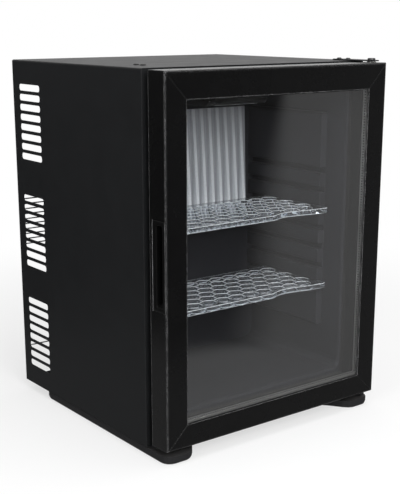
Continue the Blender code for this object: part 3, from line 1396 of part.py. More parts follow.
def build_wire_guard():
    """Wires across the open rear that seat behind the wrap's flanges, welded to two posts."""
    y = CABINET_REAR - SHEET - CLEARANCE - WIRE_RADIUS
    reach = HALF_WIDTH - SHEET - CLEARANCE
    heights = [TOP_WIRE_Z - k * WIRE_PITCH for k in range(WIRE_COUNT)] + [LOW_WIRE_Z]
    wires = bmesh.new()
    for z in heights:
        add_lathe(wires, hole_profile(WIRE_RADIUS, -reach, reach), (0, y, z), "x", 6)
    guard = place_mesh("rear_wire_guard", wires, zinc_steel())
    posts = bmesh.new()
    for x in (-GUARD_POST_X, GUARD_POST_X):
        bar = hole_profile(WIRE_RADIUS, LOW_WIRE_Z - 3 * WIRE_RADIUS, TOP_WIRE_Z + 3 * WIRE_RADIUS)
        add_lathe(posts, bar, (x, y - 1.5 * WIRE_RADIUS, 0), "z", 6)
    boolean(guard, place_mesh("posts", posts, None), "UNION")
    return guard


def build_control_box():
    """Box on the rear panel with a lid, the power inlet in its floor and the heater's lead."""
    front = PANEL_BACK + CLEARANCE
    rear = front + BOX_DEPTH
    right = BOX_X + BOX_WIDTH
    top = BOX_Z + BOX_HEIGHT
    wall = BOX_WALL
    case = box("control_box", (BOX_X, front, BOX_Z), (right, rear, top), black_plastic())
    room = box("room", (BOX_X + wall, front + wall, BOX_Z + wall), (right - wall, rear + OVERCUT, top - wall))
    boolean(case, room)
    cover = box("control_box_cover", (BOX_X, rear + CLEARANCE, BOX_Z), (right, rear + CLEARANCE + wall, top),
                black_plastic())
    plug_gap = wall + CLEARANCE
    plug = box("plug", (BOX_X + plug_gap, rear - COVER_LIP, BOX_Z + plug_gap),
               (right - plug_gap, rear + wall, top - plug_gap))
    boolean(cover, plug, "UNION")
    inlet_x = BOX_X + BOX_WIDTH / 2
    inlet_y = front + wall + (BOX_DEPTH - wall) / 2 - COVER_LIP / 2
    half_x = INLET_WIDTH / 2
    half_y = INLET_DEPTH / 2
    gap = CLEARANCE
    window = box("window", (inlet_x - half_x - gap, inlet_y - half_y - gap, BOX_Z - OVERCUT),
                 (inlet_x + half_x + gap, inlet_y + half_y + gap, BOX_Z + wall + OVERCUT))
    boolean(case, window)
    body_top = BOX_Z + INLET_HEIGHT
    flange_low = BOX_Z - gap - INLET_FLANGE
    inlet = box("power_inlet", (inlet_x - half_x, inlet_y - half_y, flange_low),
                (inlet_x + half_x, inlet_y + half_y, body_top), black_plastic())
    rim = INLET_WALL
    flange = box("flange", (inlet_x - half_x - rim, inlet_y - half_y - rim, flange_low),
                 (inlet_x + half_x + rim, inlet_y + half_y + rim, BOX_Z - gap))
    boolean(inlet, flange, "UNION")
    socket = box("socket", (inlet_x - half_x + rim, inlet_y - half_y + rim, flange_low - OVERCUT),
                 (inlet_x + half_x - rim, inlet_y + half_y - rim, body_top - rim))
    boolean(inlet, socket)
    prongs = bmesh.new()
    for k in (-1, 0, 1):
        x = inlet_x + k * PRONG_PITCH
        y = inlet_y + (PRONG_WIDTH / 2 if k == 0 else -PRONG_WIDTH / 4)
        add_box(prongs, (x - PRONG_THICKNESS / 2, y - PRONG_WIDTH / 2, flange_low + INLET_FLANGE),
                (x + PRONG_THICKNESS / 2, y + PRONG_WIDTH / 2, body_top - rim / 2))
    boolean(inlet, place_mesh("prongs", prongs, None), "UNION")
    heater_y = UNIT_Y - BOILER_RADIUS - HEATER_RADIUS - HEATER_WALL
    lead_y = front + BOX_DEPTH / 2
    lead_z = BOX_Z + BOX_HEIGHT / 3
    lead_x = (right + BOILER_X - JACKET_RADIUS) / 2
    low_z = HEATER_BOTTOM - 5 * LEAD_RADIUS
    route = [(right + CLEARANCE, lead_y, lead_z), (lead_x, lead_y, lead_z), (lead_x, lead_y, low_z),
             (BOILER_X, heater_y, low_z), (BOILER_X, heater_y, HEATER_BOTTOM - CLEARANCE)]
    tube("heater_lead", rounded_path(route, 3 * LEAD_RADIUS, 3), LEAD_RADIUS, soft_rubber())


def main():
    clear_scene()
    build_outer_shell()
    build_bottom_pan()
    build_base_plinth()
    build_inner_liner()
    build_insulation()
    build_back_panel()
    build_cold_plate()
    build_drip_gutter()
    build_drain()
    build_ceiling_lamp()
    build_shelf("shelf_upper", UPPER_SHELF_GROOVE)
    build_shelf("shelf_lower", LOWER_SHELF_GROOVE)
    door = build_door_frame() + build_glazing() + build_glazing_beads() + build_door_seal()
    door += [build_door_grip(), build_bush("door_bush_top", DOOR_TOP, 1)]
    door.append(build_bush("door_bush_bottom", DOOR_BOTTOM, -1))
    carry(door, joint_empty("door_hinge_axis", (HINGE_X, HINGE_Y, DOOR_BOTTOM)))
    build_top_hinge()
    build_hole_plugs()
    build_bottom_hinge()
    build_absorber()
    build_unit_strap()
    build_boiler()
    build_condenser()
    build_wire_guard()
    build_control_box()


main()
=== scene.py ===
"""Glass-door minibar fridge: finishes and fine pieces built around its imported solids.

Run as a script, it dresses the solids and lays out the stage. Lengths are in metres,
and those given to finishes in millimetres.
"""

import math
import random

import bmesh
import bpy
from bpy.props import FloatProperty, FloatVectorProperty, IntProperty, PointerProperty
from mathutils import Matrix, Vector
from mathutils.geometry import tessellate_polygon


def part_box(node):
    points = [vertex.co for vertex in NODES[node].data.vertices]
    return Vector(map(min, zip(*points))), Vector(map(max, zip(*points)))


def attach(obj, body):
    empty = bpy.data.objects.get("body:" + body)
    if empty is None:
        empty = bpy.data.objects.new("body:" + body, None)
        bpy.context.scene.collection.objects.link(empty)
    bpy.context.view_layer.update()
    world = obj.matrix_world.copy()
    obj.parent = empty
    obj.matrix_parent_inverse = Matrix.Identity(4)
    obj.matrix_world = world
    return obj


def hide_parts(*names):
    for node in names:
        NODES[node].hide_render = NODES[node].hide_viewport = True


bl_info = {
    "name": "Glass-Door Minibar",
    "version": (1, 0, 0),
    "blender": (4, 5, 0),
    "location": "View3D > Sidebar > Minibar",
    "description": "Dresses the solids of a glass-door minibar fridge and lights them on a plain stage",
    "category": "Object",
}

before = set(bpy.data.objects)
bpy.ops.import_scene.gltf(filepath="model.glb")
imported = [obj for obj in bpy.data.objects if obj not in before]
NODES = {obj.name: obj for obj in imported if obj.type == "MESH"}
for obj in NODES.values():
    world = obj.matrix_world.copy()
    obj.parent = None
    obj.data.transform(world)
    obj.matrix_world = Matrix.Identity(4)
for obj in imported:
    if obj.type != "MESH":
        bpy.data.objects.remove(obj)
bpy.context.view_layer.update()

# Camera, from the straight edges of the cabinet
CAMERA_PLACE = (-0.93828, -1.23886, 0.59402)
CAMERA_TURN = (math.radians(75.2479), 0.0, math.radians(-37.3985))
CAMERA_LENS = 73.866
CAMERA_RISE = 0.0780

MM = 0.001
UNIT = (0.0, 1.0)


# Node trees

def feed(tree, socket, source):
    """Links an output to a socket, or sets the socket's constant."""
    if isinstance(source, bpy.types.NodeSocket):
        tree.links.new(source, socket)
    else:
        socket.default_value = source


def add_node(tree, kind, *sources, **values):
    """Adds a node. Values set its properties or the inputs named like them, sources its first inputs."""
    node = tree.nodes.new("ShaderNode" + kind)
    for key, value in values.items():
        if hasattr(node, key):
            setattr(node, key, value)
        else:
            feed(tree, node.inputs[key.replace("_", " ")], value)
    for socket, source in zip(node.inputs, sources):
        feed(tree, socket, source)
    return node


def calc(tree, operation, *sources, **values):
    """The result of a sum on numbers."""
    return add_node(tree, "Math", *sources, operation=operation, **values).outputs[0]


def vector_calc(tree, operation, *sources, **values):
    """The result of a sum on vectors, which is a number for a length or a dot product."""
    node = add_node(tree, "VectorMath", *sources, operation=operation, **values)
    return node.outputs["Value" if operation in ("LENGTH", "DOT_PRODUCT") else "Vector"]


def mapped(tree, value, source, target=UNIT, **values):
    """A value read from one range of numbers into another."""
    return add_node(tree, "MapRange", value, *source, *target, **values).outputs["Result"]


def stepped(tree, value, low, high, target=UNIT):
    """The first of two values at low, the second at high, with a soft step between."""
    return mapped(tree, value, (low, high), target, interpolation_type="SMOOTHSTEP")


def noise(tree, place, scale, detail, roughness=0.5):
    return add_node(tree, "TexNoise", place, Scale=scale, Detail=detail, Roughness=roughness).outputs["Fac"]


def tinted(tree, factor, base, other):
    """A colour mixed between two by a mask; base is a colour or another mix's output."""
    mix = add_node(tree, "Mix", factor, data_type="RGBA")
    for socket, colour in zip(mix.inputs[6:8], (base, other)):
        feed(tree, socket, colour if isinstance(colour, bpy.types.NodeSocket) else (*colour, 1.0))
    return mix.outputs[2]


def scaled_place(tree, size):
    """Object coordinates divided by a size, so that patterns keep their real scale."""
    place = add_node(tree, "TexCoord").outputs["Object"]
    return vector_calc(tree, "SCALE", place, Scale=calc(tree, "DIVIDE", 1.0, size))


# Shared effects: each function gives the outputs of a node group from its inputs

def grain_nodes(tree, given):
    """Fine orange peel of powder coat and moulded plastic: a height and a mottle mask."""
    place = scaled_place(tree, given["Size"])
    cells = add_node(tree, "TexVoronoi", place, feature="SMOOTH_F1", Scale=1.0, Smoothness=0.7)
    height = calc(tree, "MULTIPLY_ADD", cells.outputs["Distance"], 0.6, noise(tree, place, 1.6, 3.0, 0.6))
    return {"Height": height, "Mottle": noise(tree, place, 0.02, 4.0, 0.65)}


def edge_wear_and_highlight_nodes(tree, given):
    """Rubbed edges and a painted edge highlight: a mask where faces meet at an angle, broken up, and the
    rounded normal.
    """
    rounded = add_node(tree, "Bevel", given["Width"], samples=4).outputs["Normal"]
    flat = add_node(tree, "NewGeometry").outputs["Normal"]
    turn = mapped(tree, vector_calc(tree, "DOT_PRODUCT", rounded, flat), (0.995, 0.80))
    # No wear and no painted highlight where the rounded normal slants sideways, as on a mitre, and less on
    # edges that face up, which the top lamp lights
    parts = add_node(tree, "SeparateXYZ", vector_calc(tree, "ABSOLUTE", rounded)).outputs
    slant = calc(tree, "MINIMUM", parts["X"], parts["Z"])
    level = calc(tree, "MULTIPLY", parts["Z"], 0.33)
    square = mapped(tree, calc(tree, "MAXIMUM", slant, level), (0.30, 0.12))
    broken = noise(tree, scaled_place(tree, given["Breakup Size"]), 1.0, 3.0)
    patch = mapped(tree, broken, (0.42, 0.62), (0.55, 1.0))
    return {"Mask": calc(tree, "MULTIPLY", calc(tree, "MULTIPLY", turn, square), patch), "Normal": rounded}


def dust_nodes(tree, given):
    """Fine dust on what faces up: a mask."""
    rise = add_node(tree, "SeparateXYZ", add_node(tree, "NewGeometry").outputs["Normal"]).outputs["Z"]
    patch = noise(tree, scaled_place(tree, given["Patch Size"]), 1.0, 6.0, 0.7)
    settled = calc(tree, "MULTIPLY", patch, calc(tree, "MAXIMUM", rise, 0.08))
    return {"Mask": calc(tree, "MULTIPLY", settled, given["Amount"])}


def line_nodes(tree, given):
    """Drawn or brushed lines: noise stretched along one axis."""
    place = vector_calc(tree, "MULTIPLY", scaled_place(tree, given["Size"]), given["Stretch"])
    return {"Height": noise(tree, place, 1.0, 2.0), "Streak": noise(tree, place, 0.12, 3.0)}


EFFECTS = {
    "Fine Grain": (grain_nodes, {"Size": 1.0 * MM}),
    "Rubbed Edges And Painted Highlight": (edge_wear_and_highlight_nodes, {"Width": 0.6 * MM, "Breakup Size": 6.0 * MM}),
    "Settled Dust": (dust_nodes, {"Amount": 0.1, "Patch Size": 20.0 * MM}),
    "Drawn Lines": (line_nodes, {"Size": 0.5 * MM, "Stretch": (1.0, 1.0, 0.02)}),
}


def make_effect(name):
    build, inputs = EFFECTS[name]
    tree = bpy.data.node_groups.new(name, "ShaderNodeTree")
    for label, value in inputs.items():
        kind = "NodeSocketVector" if isinstance(value, tuple) else "NodeSocketFloat"
        tree.interface.new_socket(name=label, in_out="INPUT", socket_type=kind).default_value = value
    results = build(tree, tree.nodes.new("NodeGroupInput").outputs)
    for label, result in results.items():
        kind = "NodeSocketVector" if result.type == "VECTOR" else "NodeSocketFloat"
        tree.interface.new_socket(name=label, in_out="OUTPUT", socket_type=kind)
    end = tree.nodes.new("NodeGroupOutput")
    for label, result in results.items():
        feed(tree, end.inputs[label], result)
    return tree


def effect(tree, name, **values):
    """Outputs of a shared effect, whose node group is made once."""
    group = bpy.data.node_groups.get(name) or make_effect(name)
    return add_node(tree, "Group", node_tree=group, **values).outputs


# Materials

def new_finish(name, **constants):
    """A material with its shader, and constants for the shader's inputs."""
    made = bpy.data.materials.new(name)
    made.use_nodes = True
    shader = made.node_tree.nodes["Principled BSDF"]
    for key, value in constants.items():
        shader.inputs[key.replace("_", " ")].default_value = value
    return made, made.node_tree, shader


def feed_surface(tree, shader, body, mottle, roughness, **bump):
    """Colour, roughness that the mottle moves between two values, and bump of a shader."""
    feed(tree, shader.inputs["Base Color"], body)
    feed(tree, shader.inputs["Roughness"], mapped(tree, mottle, UNIT, roughness))
    feed(tree, shader.inputs["Normal"], add_node(tree, "Bump", **bump).outputs["Normal"])


def lifted(colour, factor=1.5):
    return tuple(min(1.0, c * factor) for c in colour)


def coated_finish(name, colour, lighter, roughness, shine, grain=0.9, peel=0.12, edge=0.6,
                  worn=(0.05, 0.05, 0.052), wear=0.35, dust=0.10, lines=None):
    """Paint, moulded plastic or rubber: mottled colour, fine grain, rubbed edges that are a pale painted
    highlight on some finishes, and settled dust.
    """
    made, tree, shader = new_finish(name, Specular_IOR_Level=shine)
    fine = effect(tree, "Fine Grain", Size=grain * MM)
    edges = effect(tree, "Rubbed Edges And Painted Highlight", Width=edge * MM, Breakup_Size=7 * MM)
    dusty = effect(tree, "Settled Dust", Amount=dust, Patch_Size=12 * MM)
    body = tinted(tree, fine["Mottle"], colour, lighter)
    # Edge colour: real rubbing where it is dark, a painted highlight where it is pale, as on the frame, liner
    # and cabinet paint
    body = tinted(tree, calc(tree, "MULTIPLY", edges["Mask"], wear), body, worn)
    body = tinted(tree, dusty["Mask"], body, (0.30, 0.29, 0.28))
    height = fine["Height"]
    if lines:
        drawn = effect(tree, "Drawn Lines", Size=0.45 * MM, Stretch=lines)
        height = calc(tree, "ADD", drawn["Height"], height)
    feed_surface(tree, shader, body, fine["Mottle"], (roughness - 0.07, roughness + 0.09),
                 Strength=peel, Distance=0.2 * MM, Height=height, Normal=edges["Normal"])
    return made


def metal_finish(name, colour, tarnish, roughness, stretch, size=0.5, groove=0.15, metallic=1.0):
    """Bare or plated metal with drawn lines, darker patches and rounded edges."""
    made, tree, shader = new_finish(name, Metallic=metallic)
    drawn = effect(tree, "Drawn Lines", Size=size * MM, Stretch=stretch)
    fine = effect(tree, "Fine Grain", Size=2 * MM)
    edges = effect(tree, "Rubbed Edges And Painted Highlight", Width=0.4 * MM, Breakup_Size=5 * MM)
    body = tinted(tree, drawn["Streak"], colour, tarnish)
    body = tinted(tree, edges["Mask"], body, lifted(colour, 1.15))
    feed_surface(tree, shader, body, fine["Mottle"], (roughness - 0.08, roughness + 0.12),
                 Strength=groove, Distance=0.1 * MM, Height=drawn["Height"], Normal=edges["Normal"])
    return made


def clear_finish(name, colour, roughness, wave_size, clear):
    """Clear plastic with a faint flow in its surface."""
    made, tree, shader = new_finish(name, Transmission_Weight=clear, IOR=1.49)
    fine = effect(tree, "Fine Grain", Size=wave_size * MM)
    body = tinted(tree, fine["Mottle"], colour, lifted(colour, 0.94))
    feed_surface(tree, shader, body, fine["Mottle"], (roughness - 0.02, roughness + 0.03),
                 Strength=0.03, Distance=0.1 * MM, Height=fine["Height"])
    return made


def plate_finish(*values, **options):
    """Metal with painted shade in the valleys between the ribs of the leaning cold plate."""
    made = metal_finish(*values, **options)
    tree = made.node_tree
    socket = tree.nodes["Principled BSDF"].inputs["Base Color"]
    place = add_node(tree, "NewGeometry").outputs["Position"]
    rise = vector_calc(tree, "DOT_PRODUCT", place, (0.0, -1.0, PLATE_LEAN))
    # Painted shade: back from the rib crests the valleys are darkened towards grey
    valley_shade = mapped(tree, rise, (VALLEY_FLOOR, RIB_CREST), (1.0, 0.0))
    feed(tree, socket, tinted(tree, valley_shade, socket.links[0].from_socket, (0.40, 0.41, 0.44)))
    return made


def pane_finish(name, clean, smeared):
    """Glass without bending of light, whose coat mirrors as much as a double-glazed unit."""
    made, tree, shader = new_finish(name, Transmission_Weight=1.0, IOR=1.0, Roughness=0.0,
                                    Coat_Weight=1.0, Coat_Roughness=0.0, Coat_IOR=2.2)
    smear = effect(tree, "Fine Grain", Size=30 * MM)["Mottle"]
    feed(tree, shader.inputs["Base Color"], tinted(tree, smear, clean, smeared))
    seen = add_node(tree, "LightPath").outputs["Is Camera Ray"]
    cover = mapped(tree, smear, UNIT, (0.88, 1.0))
    feed(tree, shader.inputs["Alpha"], calc(tree, "MULTIPLY", cover, seen))
    return made


# Settings

class MinibarFinish(bpy.types.PropertyGroup):
    """Colours of the finishes."""

    paint: FloatVectorProperty(
        name="Cabinet Paint", description="Powder coat of the wrap", subtype="COLOR", size=3,
        default=(0.0080, 0.0084, 0.0090), min=0.0, max=1.0)
    door_frame: FloatVectorProperty(
        name="Door Frame", description="Black profile of the door", subtype="COLOR", size=3,
        default=(0.0018, 0.0018, 0.0019), min=0.0, max=1.0)
    liner: FloatVectorProperty(
        name="Liner", description="Formed sheet of the cavity", subtype="COLOR", size=3,
        default=(0.0185, 0.0190, 0.0225), min=0.0, max=1.0)
    metal: FloatVectorProperty(
        name="Cold Plate", description="Bare aluminium of the cold plate", subtype="COLOR", size=3,
        default=(0.90, 0.93, 0.96), min=0.0, max=1.0)


class MinibarSizes(bpy.types.PropertyGroup):
    """Sizes of the fine pieces."""

    cell_round: FloatProperty(
        name="Shelf Cell Edge", description="Rounding on the shelf's cell walls", unit="LENGTH",
        default=0.0006, min=0.0, max=0.001)
    spacer_pitch: FloatProperty(
        name="Spacer Hole Pitch", description="Distance between the holes of the glass spacer", unit="LENGTH",
        default=0.0040, min=0.002, max=0.01)
    fin_count: IntProperty(
        name="Condenser Fins", description="Number of thin fins on the condenser", default=25, min=5, max=60)
    wire_radius: FloatProperty(
        name="Guard Wire Radius", description="Radius of the rear guard's wires", unit="LENGTH",
        default=0.0011, min=0.0005, max=0.003)


class MinibarStage(bpy.types.PropertyGroup):
    """Lamps and floor."""

    key: FloatProperty(name="Key Lamp", description="Power of the front softbox", unit="POWER", default=38.0)
    fill: FloatProperty(name="Fill Lamp", description="Power of the side softbox", unit="POWER", default=14.0)
    top: FloatProperty(
        name="Top Lamp", description="Power of the overhead softbox", unit="POWER", default=18.0)
    ambient: FloatProperty(name="Ambient", description="Strength of the even light", default=0.40)
    floor: FloatVectorProperty(
        name="Floor", description="Colour of the floor", subtype="COLOR", size=3,
        default=(0.86, 0.86, 0.86), min=0.0, max=1.0)


# Finishes, each made once

PLATE_LEAN = 0.0349
VALLEY_FLOOR, RIB_CREST = -44.2 * MM, -38.7 * MM

FINISHES = {}


def finish_values():
    """Maker, name, colours and values of each finish."""
    colours = bpy.context.scene.minibar_finish
    paint, black, liner = colours.paint, colours.door_frame, colours.liner
    return {
        # Edges partly rubbed and partly lightened as a painted highlight
        "paint": (coated_finish, "cabinet_powder_coat", paint, lifted(paint), 0.42, 0.06,
                  dict(grain=0.7, peel=0.20, worn=(0.12, 0.12, 0.125), wear=0.5)),
        # Painted highlight: the frame's edges are lightened to pale grey, standing in for lamp glints on its
        # rounded edges
        "frame": (coated_finish, "door_frame_satin", black, lifted(black), 0.26, 0.20,
                  dict(grain=1.2, peel=0.05, edge=1.1, worn=(0.50, 0.50, 0.51), wear=1.0, dust=0.05,
                       lines=(1.0, 1.0, 1.0))),
        "bead": (coated_finish, "bead_plastic", (0.006, 0.006, 0.006), (0.010, 0.010, 0.010), 0.50, 0.2,
                 dict(peel=0.10)),
        "base": (coated_finish, "base_moulded_grain", (0.008, 0.008, 0.009), (0.013, 0.013, 0.014), 0.62, 0.2,
                 dict(grain=0.6, peel=0.35, wear=0.5, dust=0.16)),
        # Painted highlight: edges of the liner's lips and grooves are lightened to three times its colour
        "liner": (coated_finish, "liner_formed_sheet", liner, lifted(liner, 1.25), 0.42, 0.08,
                  dict(grain=1.6, peel=0.06, edge=1.2, wear=0.7, worn=lifted(liner, 3.0), dust=0.05)),
        "inner": (coated_finish, "inner_black_plastic", (0.010, 0.010, 0.011), (0.016, 0.016, 0.017),
                  0.45, 0.3, dict(peel=0.10, wear=0.15)),
        "rubber": (coated_finish, "seal_rubber", (0.010, 0.010, 0.010), (0.016, 0.016, 0.016), 0.66, 0.25,
                   dict(grain=1.4, peel=0.10, wear=0.1, dust=0.2)),
        "lacquer": (coated_finish, "unit_black_lacquer", (0.010, 0.010, 0.010), (0.017, 0.016, 0.016),
                    0.40, 0.5, dict(grain=1.5, peel=0.25, worn=(0.12, 0.10, 0.09), wear=0.4, dust=0.25)),
        "foam": (coated_finish, "pale_foam", (0.62, 0.54, 0.36), (0.74, 0.68, 0.50), 0.85, 0.3,
                 dict(peel=0.8, worn=(0.7, 0.6, 0.4), wear=0.2)),
        "magnet": (coated_finish, "magnet_strip", (0.020, 0.019, 0.018), (0.028, 0.027, 0.025), 0.70, 0.3,
                   dict(peel=0.2)),
        "bush": (coated_finish, "bush_acetal", (0.66, 0.66, 0.63), (0.74, 0.74, 0.72), 0.40, 0.5,
                 dict(peel=0.05, worn=(0.5, 0.5, 0.48))),
        "frosted": (coated_finish, "lamp_frosted", (0.70, 0.72, 0.73), (0.80, 0.82, 0.83), 0.35, 0.5,
                    dict(peel=0.10, worn=(0.85, 0.85, 0.85))),
        "black_steel": (coated_finish, "black_plated_steel", (0.010, 0.010, 0.011), (0.018, 0.018, 0.019),
                        0.36, 0.5, dict(peel=0.10, worn=(0.16, 0.16, 0.16), wear=0.6)),
        "grip": (coated_finish, "grip_moulded_plastic", (0.0020, 0.0020, 0.0021), (0.0030, 0.0030, 0.0031),
                 0.30, 0.10, dict(grain=0.8, peel=0.06, wear=0.3, worn=(0.06, 0.06, 0.06), dust=0.04)),
        # Cold plate aluminium, with painted shade in its rib valleys
        "plate": (plate_finish, "cold_plate_aluminium", colours.metal, (0.82, 0.85, 0.89), 0.30,
                  (1.0, 1.0, 0.02), dict(size=0.8, groove=0.04, metallic=0.25)),
        "spacer": (metal_finish, "spacer_aluminium", (0.44, 0.435, 0.42), (0.32, 0.315, 0.305), 0.32,
                   (0.1, 1.0, 0.1), dict(metallic=0.8)),
        "fin": (metal_finish, "fin_aluminium", (0.70, 0.71, 0.72), (0.52, 0.53, 0.54), 0.36,
                (1.0, 1.0, 0.05), {}),
        "zinc": (metal_finish, "zinc_plate", (0.50, 0.51, 0.52), (0.36, 0.36, 0.36), 0.34, (0.4, 0.4, 0.4),
                 dict(size=1.5, groove=0.08)),
        "pane": (pane_finish, "float_glass", (0.95, 0.97, 0.97), (0.91, 0.94, 0.94), {}),
        "shelf": (clear_finish, "shelf_clear_plastic", (0.88, 0.93, 0.99), 0.02, 5, 0.97, {}),
        # Painted highlight: the rounded cell rims get a whiter, mostly unclear copy of the shelf plastic
        "shelf_rim": (clear_finish, "shelf_rim_plastic", (0.92, 0.96, 1.0), 0.08, 3, 0.10, {}),
    }


def finish(name):
    if name not in FINISHES:
        maker, *values, options = finish_values()[name]
        FINISHES[name] = maker(*values, **options)
    return FINISHES[name]


DRESSED_NODES = {
    "paint": "outer_shell back_panel bottom_pan top_hinge_plate bottom_hinge_bracket",
    "frame": "door_stile_left door_stile_right door_rail_bottom door_rail_top door_grip",
    "bead": "glazing_bead_left glazing_bead_right glazing_bead_bottom glazing_bead_top hole_plug_1 "
            "hole_plug_2",
    "base": "base_plinth",
    "liner": "inner_liner",
    "inner": "drip_gutter drip_dish lamp_housing thermostat_knob control_box control_box_cover "
             "power_inlet",
    "rubber": "drain_hose heater_lead door_seal",
    "lacquer": "absorber_vessel absorber_coil boiler_column liquid_tube condenser_tube "
               "evaporator_tube",
    "foam": "insulation_foam boiler_insulation",
    "magnet": "seal_magnet_left seal_magnet_right seal_magnet_bottom seal_magnet_top",
    "bush": "door_bush_top door_bush_bottom",
    "frosted": "lamp_lens",
    "plate": "cold_plate",
    "spacer": "glazing_spacer",
    "fin": "condenser_fins",
    "zinc": "unit_strap boiler_jacket heater_cartridge top_hinge_pin bottom_hinge_pin rear_wire_guard",
    "black_steel": "top_hinge_screw_1 top_hinge_screw_2 bottom_hinge_screw_1 bottom_hinge_screw_2",
    "pane": "outer_glass inner_glass",
    "shelf": "shelf_upper shelf_lower",
}


class MINIBAR_OT_finishes(bpy.types.Operator):
    """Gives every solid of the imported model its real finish"""

    bl_idname = "minibar.finishes"
    bl_label = "Dress Solids"

    def execute(self, context):
        dressed = set()
        for name, nodes in DRESSED_NODES.items():
            for node in nodes.split():
                slots = NODES[node].data.materials
                slots.clear()
                slots.append(finish(name))
                dressed.add(node)
        missing = sorted(set(NODES) - dressed)
        if missing:
            raise RuntimeError(f"these solids have no finish: {missing}")
        return {"FINISHED"}


# Meshes

POINT_RADIUS = 0.0001 * MM
AXIS_ORDER = {"x": lambda a, b, c: (c, a, b), "y": lambda a, b, c: (a, c, b), "z": lambda a, b, c: (a, b, c)}


def add_object(name, data):
    made = bpy.data.objects.new(name, data)
    bpy.context.scene.collection.objects.link(made)
    return made


def mesh_object(name, bm, material):
    mesh = bpy.data.meshes.new(name)
    bm.to_mesh(mesh)
    bm.free()
    mesh.materials.append(material)
    return add_object(name, mesh)


def place_piece(name, bm, body, look, node=None, smooth=35):
    """Turns bmesh data into a piece that rides on a body and may stand for a CAD node."""
    bmesh.ops.recalc_face_normals(bm, faces=bm.faces)
    piece = mesh_object(name, bm, finish(look))
    if smooth:
        piece.data.shade_smooth()
        piece.data.set_sharp_from_angle(angle=math.radians(smooth))
    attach(piece, body)
    if node:
        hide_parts(node)
    return piece


def middle(low, high):
    """Centre of a box."""
    return tuple((a + b) / 2 for a, b in zip(low, high))


def circle(radius, count):
    """Points of a circle about the origin."""
    angles = (2 * math.pi * k / count for k in range(count))
    return [(radius * math.cos(a), radius * math.sin(a)) for a in angles]


def ring_spots(centre, radius, axis, count=26):
    """Spots round a circle across an axis."""
    return [Vector(centre) + Vector(AXIS_ORDER[axis](a, b, 0)) for a, b in circle(radius, count)]


def skin_rings(bm, rings, smooth=True, closed=False, capped=False):
    """Quads between rings of the same count, with a flat face at each end if capped."""
    for one, two in zip(rings, rings[1:] + (rings[:1] if closed else [])):
        for k in range(len(one)):
            nxt = (k + 1) % len(one)
            bm.faces.new((one[k], one[nxt], two[nxt], two[k])).smooth = smooth
    if capped:
        bm.faces.new(rings[0])
        bm.faces.new(rings[-1])


def skin_with_holes(bm, rings):
    """Flat faces within the first ring of vertices and round the others."""
    flat = [vert for ring in rings for vert in ring]
    for corners in tessellate_polygon([[vert.co for vert in ring] for ring in rings]):
        bm.faces.new([flat[i] for i in corners])


def add_tube(bm, points, radius, sides=12, closed=False):
    """A round tube along points, with capped ends or as one ring."""
    points = [Vector(p) for p in points]
    count = len(points)
    rings = []
    side = None
    for k, point in enumerate(points):
        before = points[k - 1] if k or closed else point
        after = points[(k + 1) % count] if k + 1 < count or closed else point
        ahead = (after - before).normalized()
        if side is None:
            side = ahead.orthogonal().normalized()
        side = (side - ahead * side.dot(ahead)).normalized()
        up = ahead.cross(side)
        rings.append([bm.verts.new(point + side * a + up * b) for a, b in circle(radius, sides)])
    skin_rings(bm, rings, closed=closed, capped=not closed)


def add_turned(bm, profile, centre, axis, steps=32):
    """A turned solid from (radius, along) points whose ends lie on the axis."""
    rings = []
    for radius, along in profile:
        spots = circle(radius, steps) if radius > POINT_RADIUS else [(0.0, 0.0)]
        spots = [AXIS_ORDER[axis](a, b, along) for a, b in spots]
        rings.append([bm.verts.new([c + d for c, d in zip(centre, spot)]) for spot in spots])
    for one, two in zip(rings, rings[1:]):
        for k in range(steps):
            here, there = one[k % len(one)], two[k % len(two)]
            corners = dict.fromkeys((here, one[(k + 1) % len(one)], two[(k + 1) % len(two)], there))
            if len(corners) > 2:
                bm.faces.new(list(corners))


def arc_points(centre, radius, start, end, steps):
    """Points of a flat arc between two angles in degrees."""
    angles = (math.radians(start + (end - start) * k / steps) for k in range(steps + 1))
    return [Vector((centre[0] + radius * math.cos(a), centre[1] + radius * math.sin(a))) for a in angles]


def round_rectangle(low, high, radius, steps=4):
    """Anticlockwise outline of a rectangle with rounded corners."""
    (a0, b0), (a1, b1) = [c + radius for c in low], [c - radius for c in high]
    centres = ((a1, b0), (a1, b1), (a0, b1), (a0, b0))
    return [p for k, c in enumerate(centres) for p in arc_points(c, radius, 90 * k - 90, 90 * k, steps)]


def rounded_loop(corners, radius, steps=4):
    """A flat outline whose corners are drawn out into short curves."""
    points = []
    for k, corner in enumerate(corners):
        corner = Vector(corner)
        back = Vector(corners[k - 1]) - corner
        ahead = Vector(corners[(k + 1) % len(corners)]) - corner
        reach = min(radius / math.tan(back.angle(ahead) / 2), 0.45 * back.length, 0.45 * ahead.length)
        start = corner + back.normalized() * reach
        end = corner + ahead.normalized() * reach
        for t in (i / steps for i in range(steps + 1)):
            points.append((1 - t) ** 2 * start + 2 * t * (1 - t) * corner + t ** 2 * end)
    return points


def shifted(loop, amount):
    """A closed outline moved to the left of its own direction, which is into the material."""
    moved = []
    for k, point in enumerate(loop):
        before = (point - loop[k - 1]).normalized()
        after = (loop[(k + 1) % len(loop)] - point).normalized()
        across = Vector((-before.y - after.y, before.x + after.x)).normalized()
        moved.append(point + across * amount / max(across.dot(Vector((-before.y, before.x))), 0.6))
    return moved


def add_slab(bm, loops, axis, low, high, edge, steps=3):
    """A slab from an anticlockwise outline and clockwise holes, with rounded rims on both faces."""
    angles = [math.pi / 2 * k / steps for k in range(steps + 1)]
    levels = [(edge * (1 - math.sin(a)), low + edge * (1 - math.cos(a))) for a in angles]
    levels += [(inset, low + high - along) for inset, along in reversed(levels)]
    skins = []
    for loop in loops:
        skins.append([[bm.verts.new(AXIS_ORDER[axis](p.x, p.y, along)) for p in shifted(loop, inset)]
                      for inset, along in levels])
        skin_rings(bm, skins[-1])
    for end in (0, -1):
        skin_with_holes(bm, [rings[end] for rings in skins])


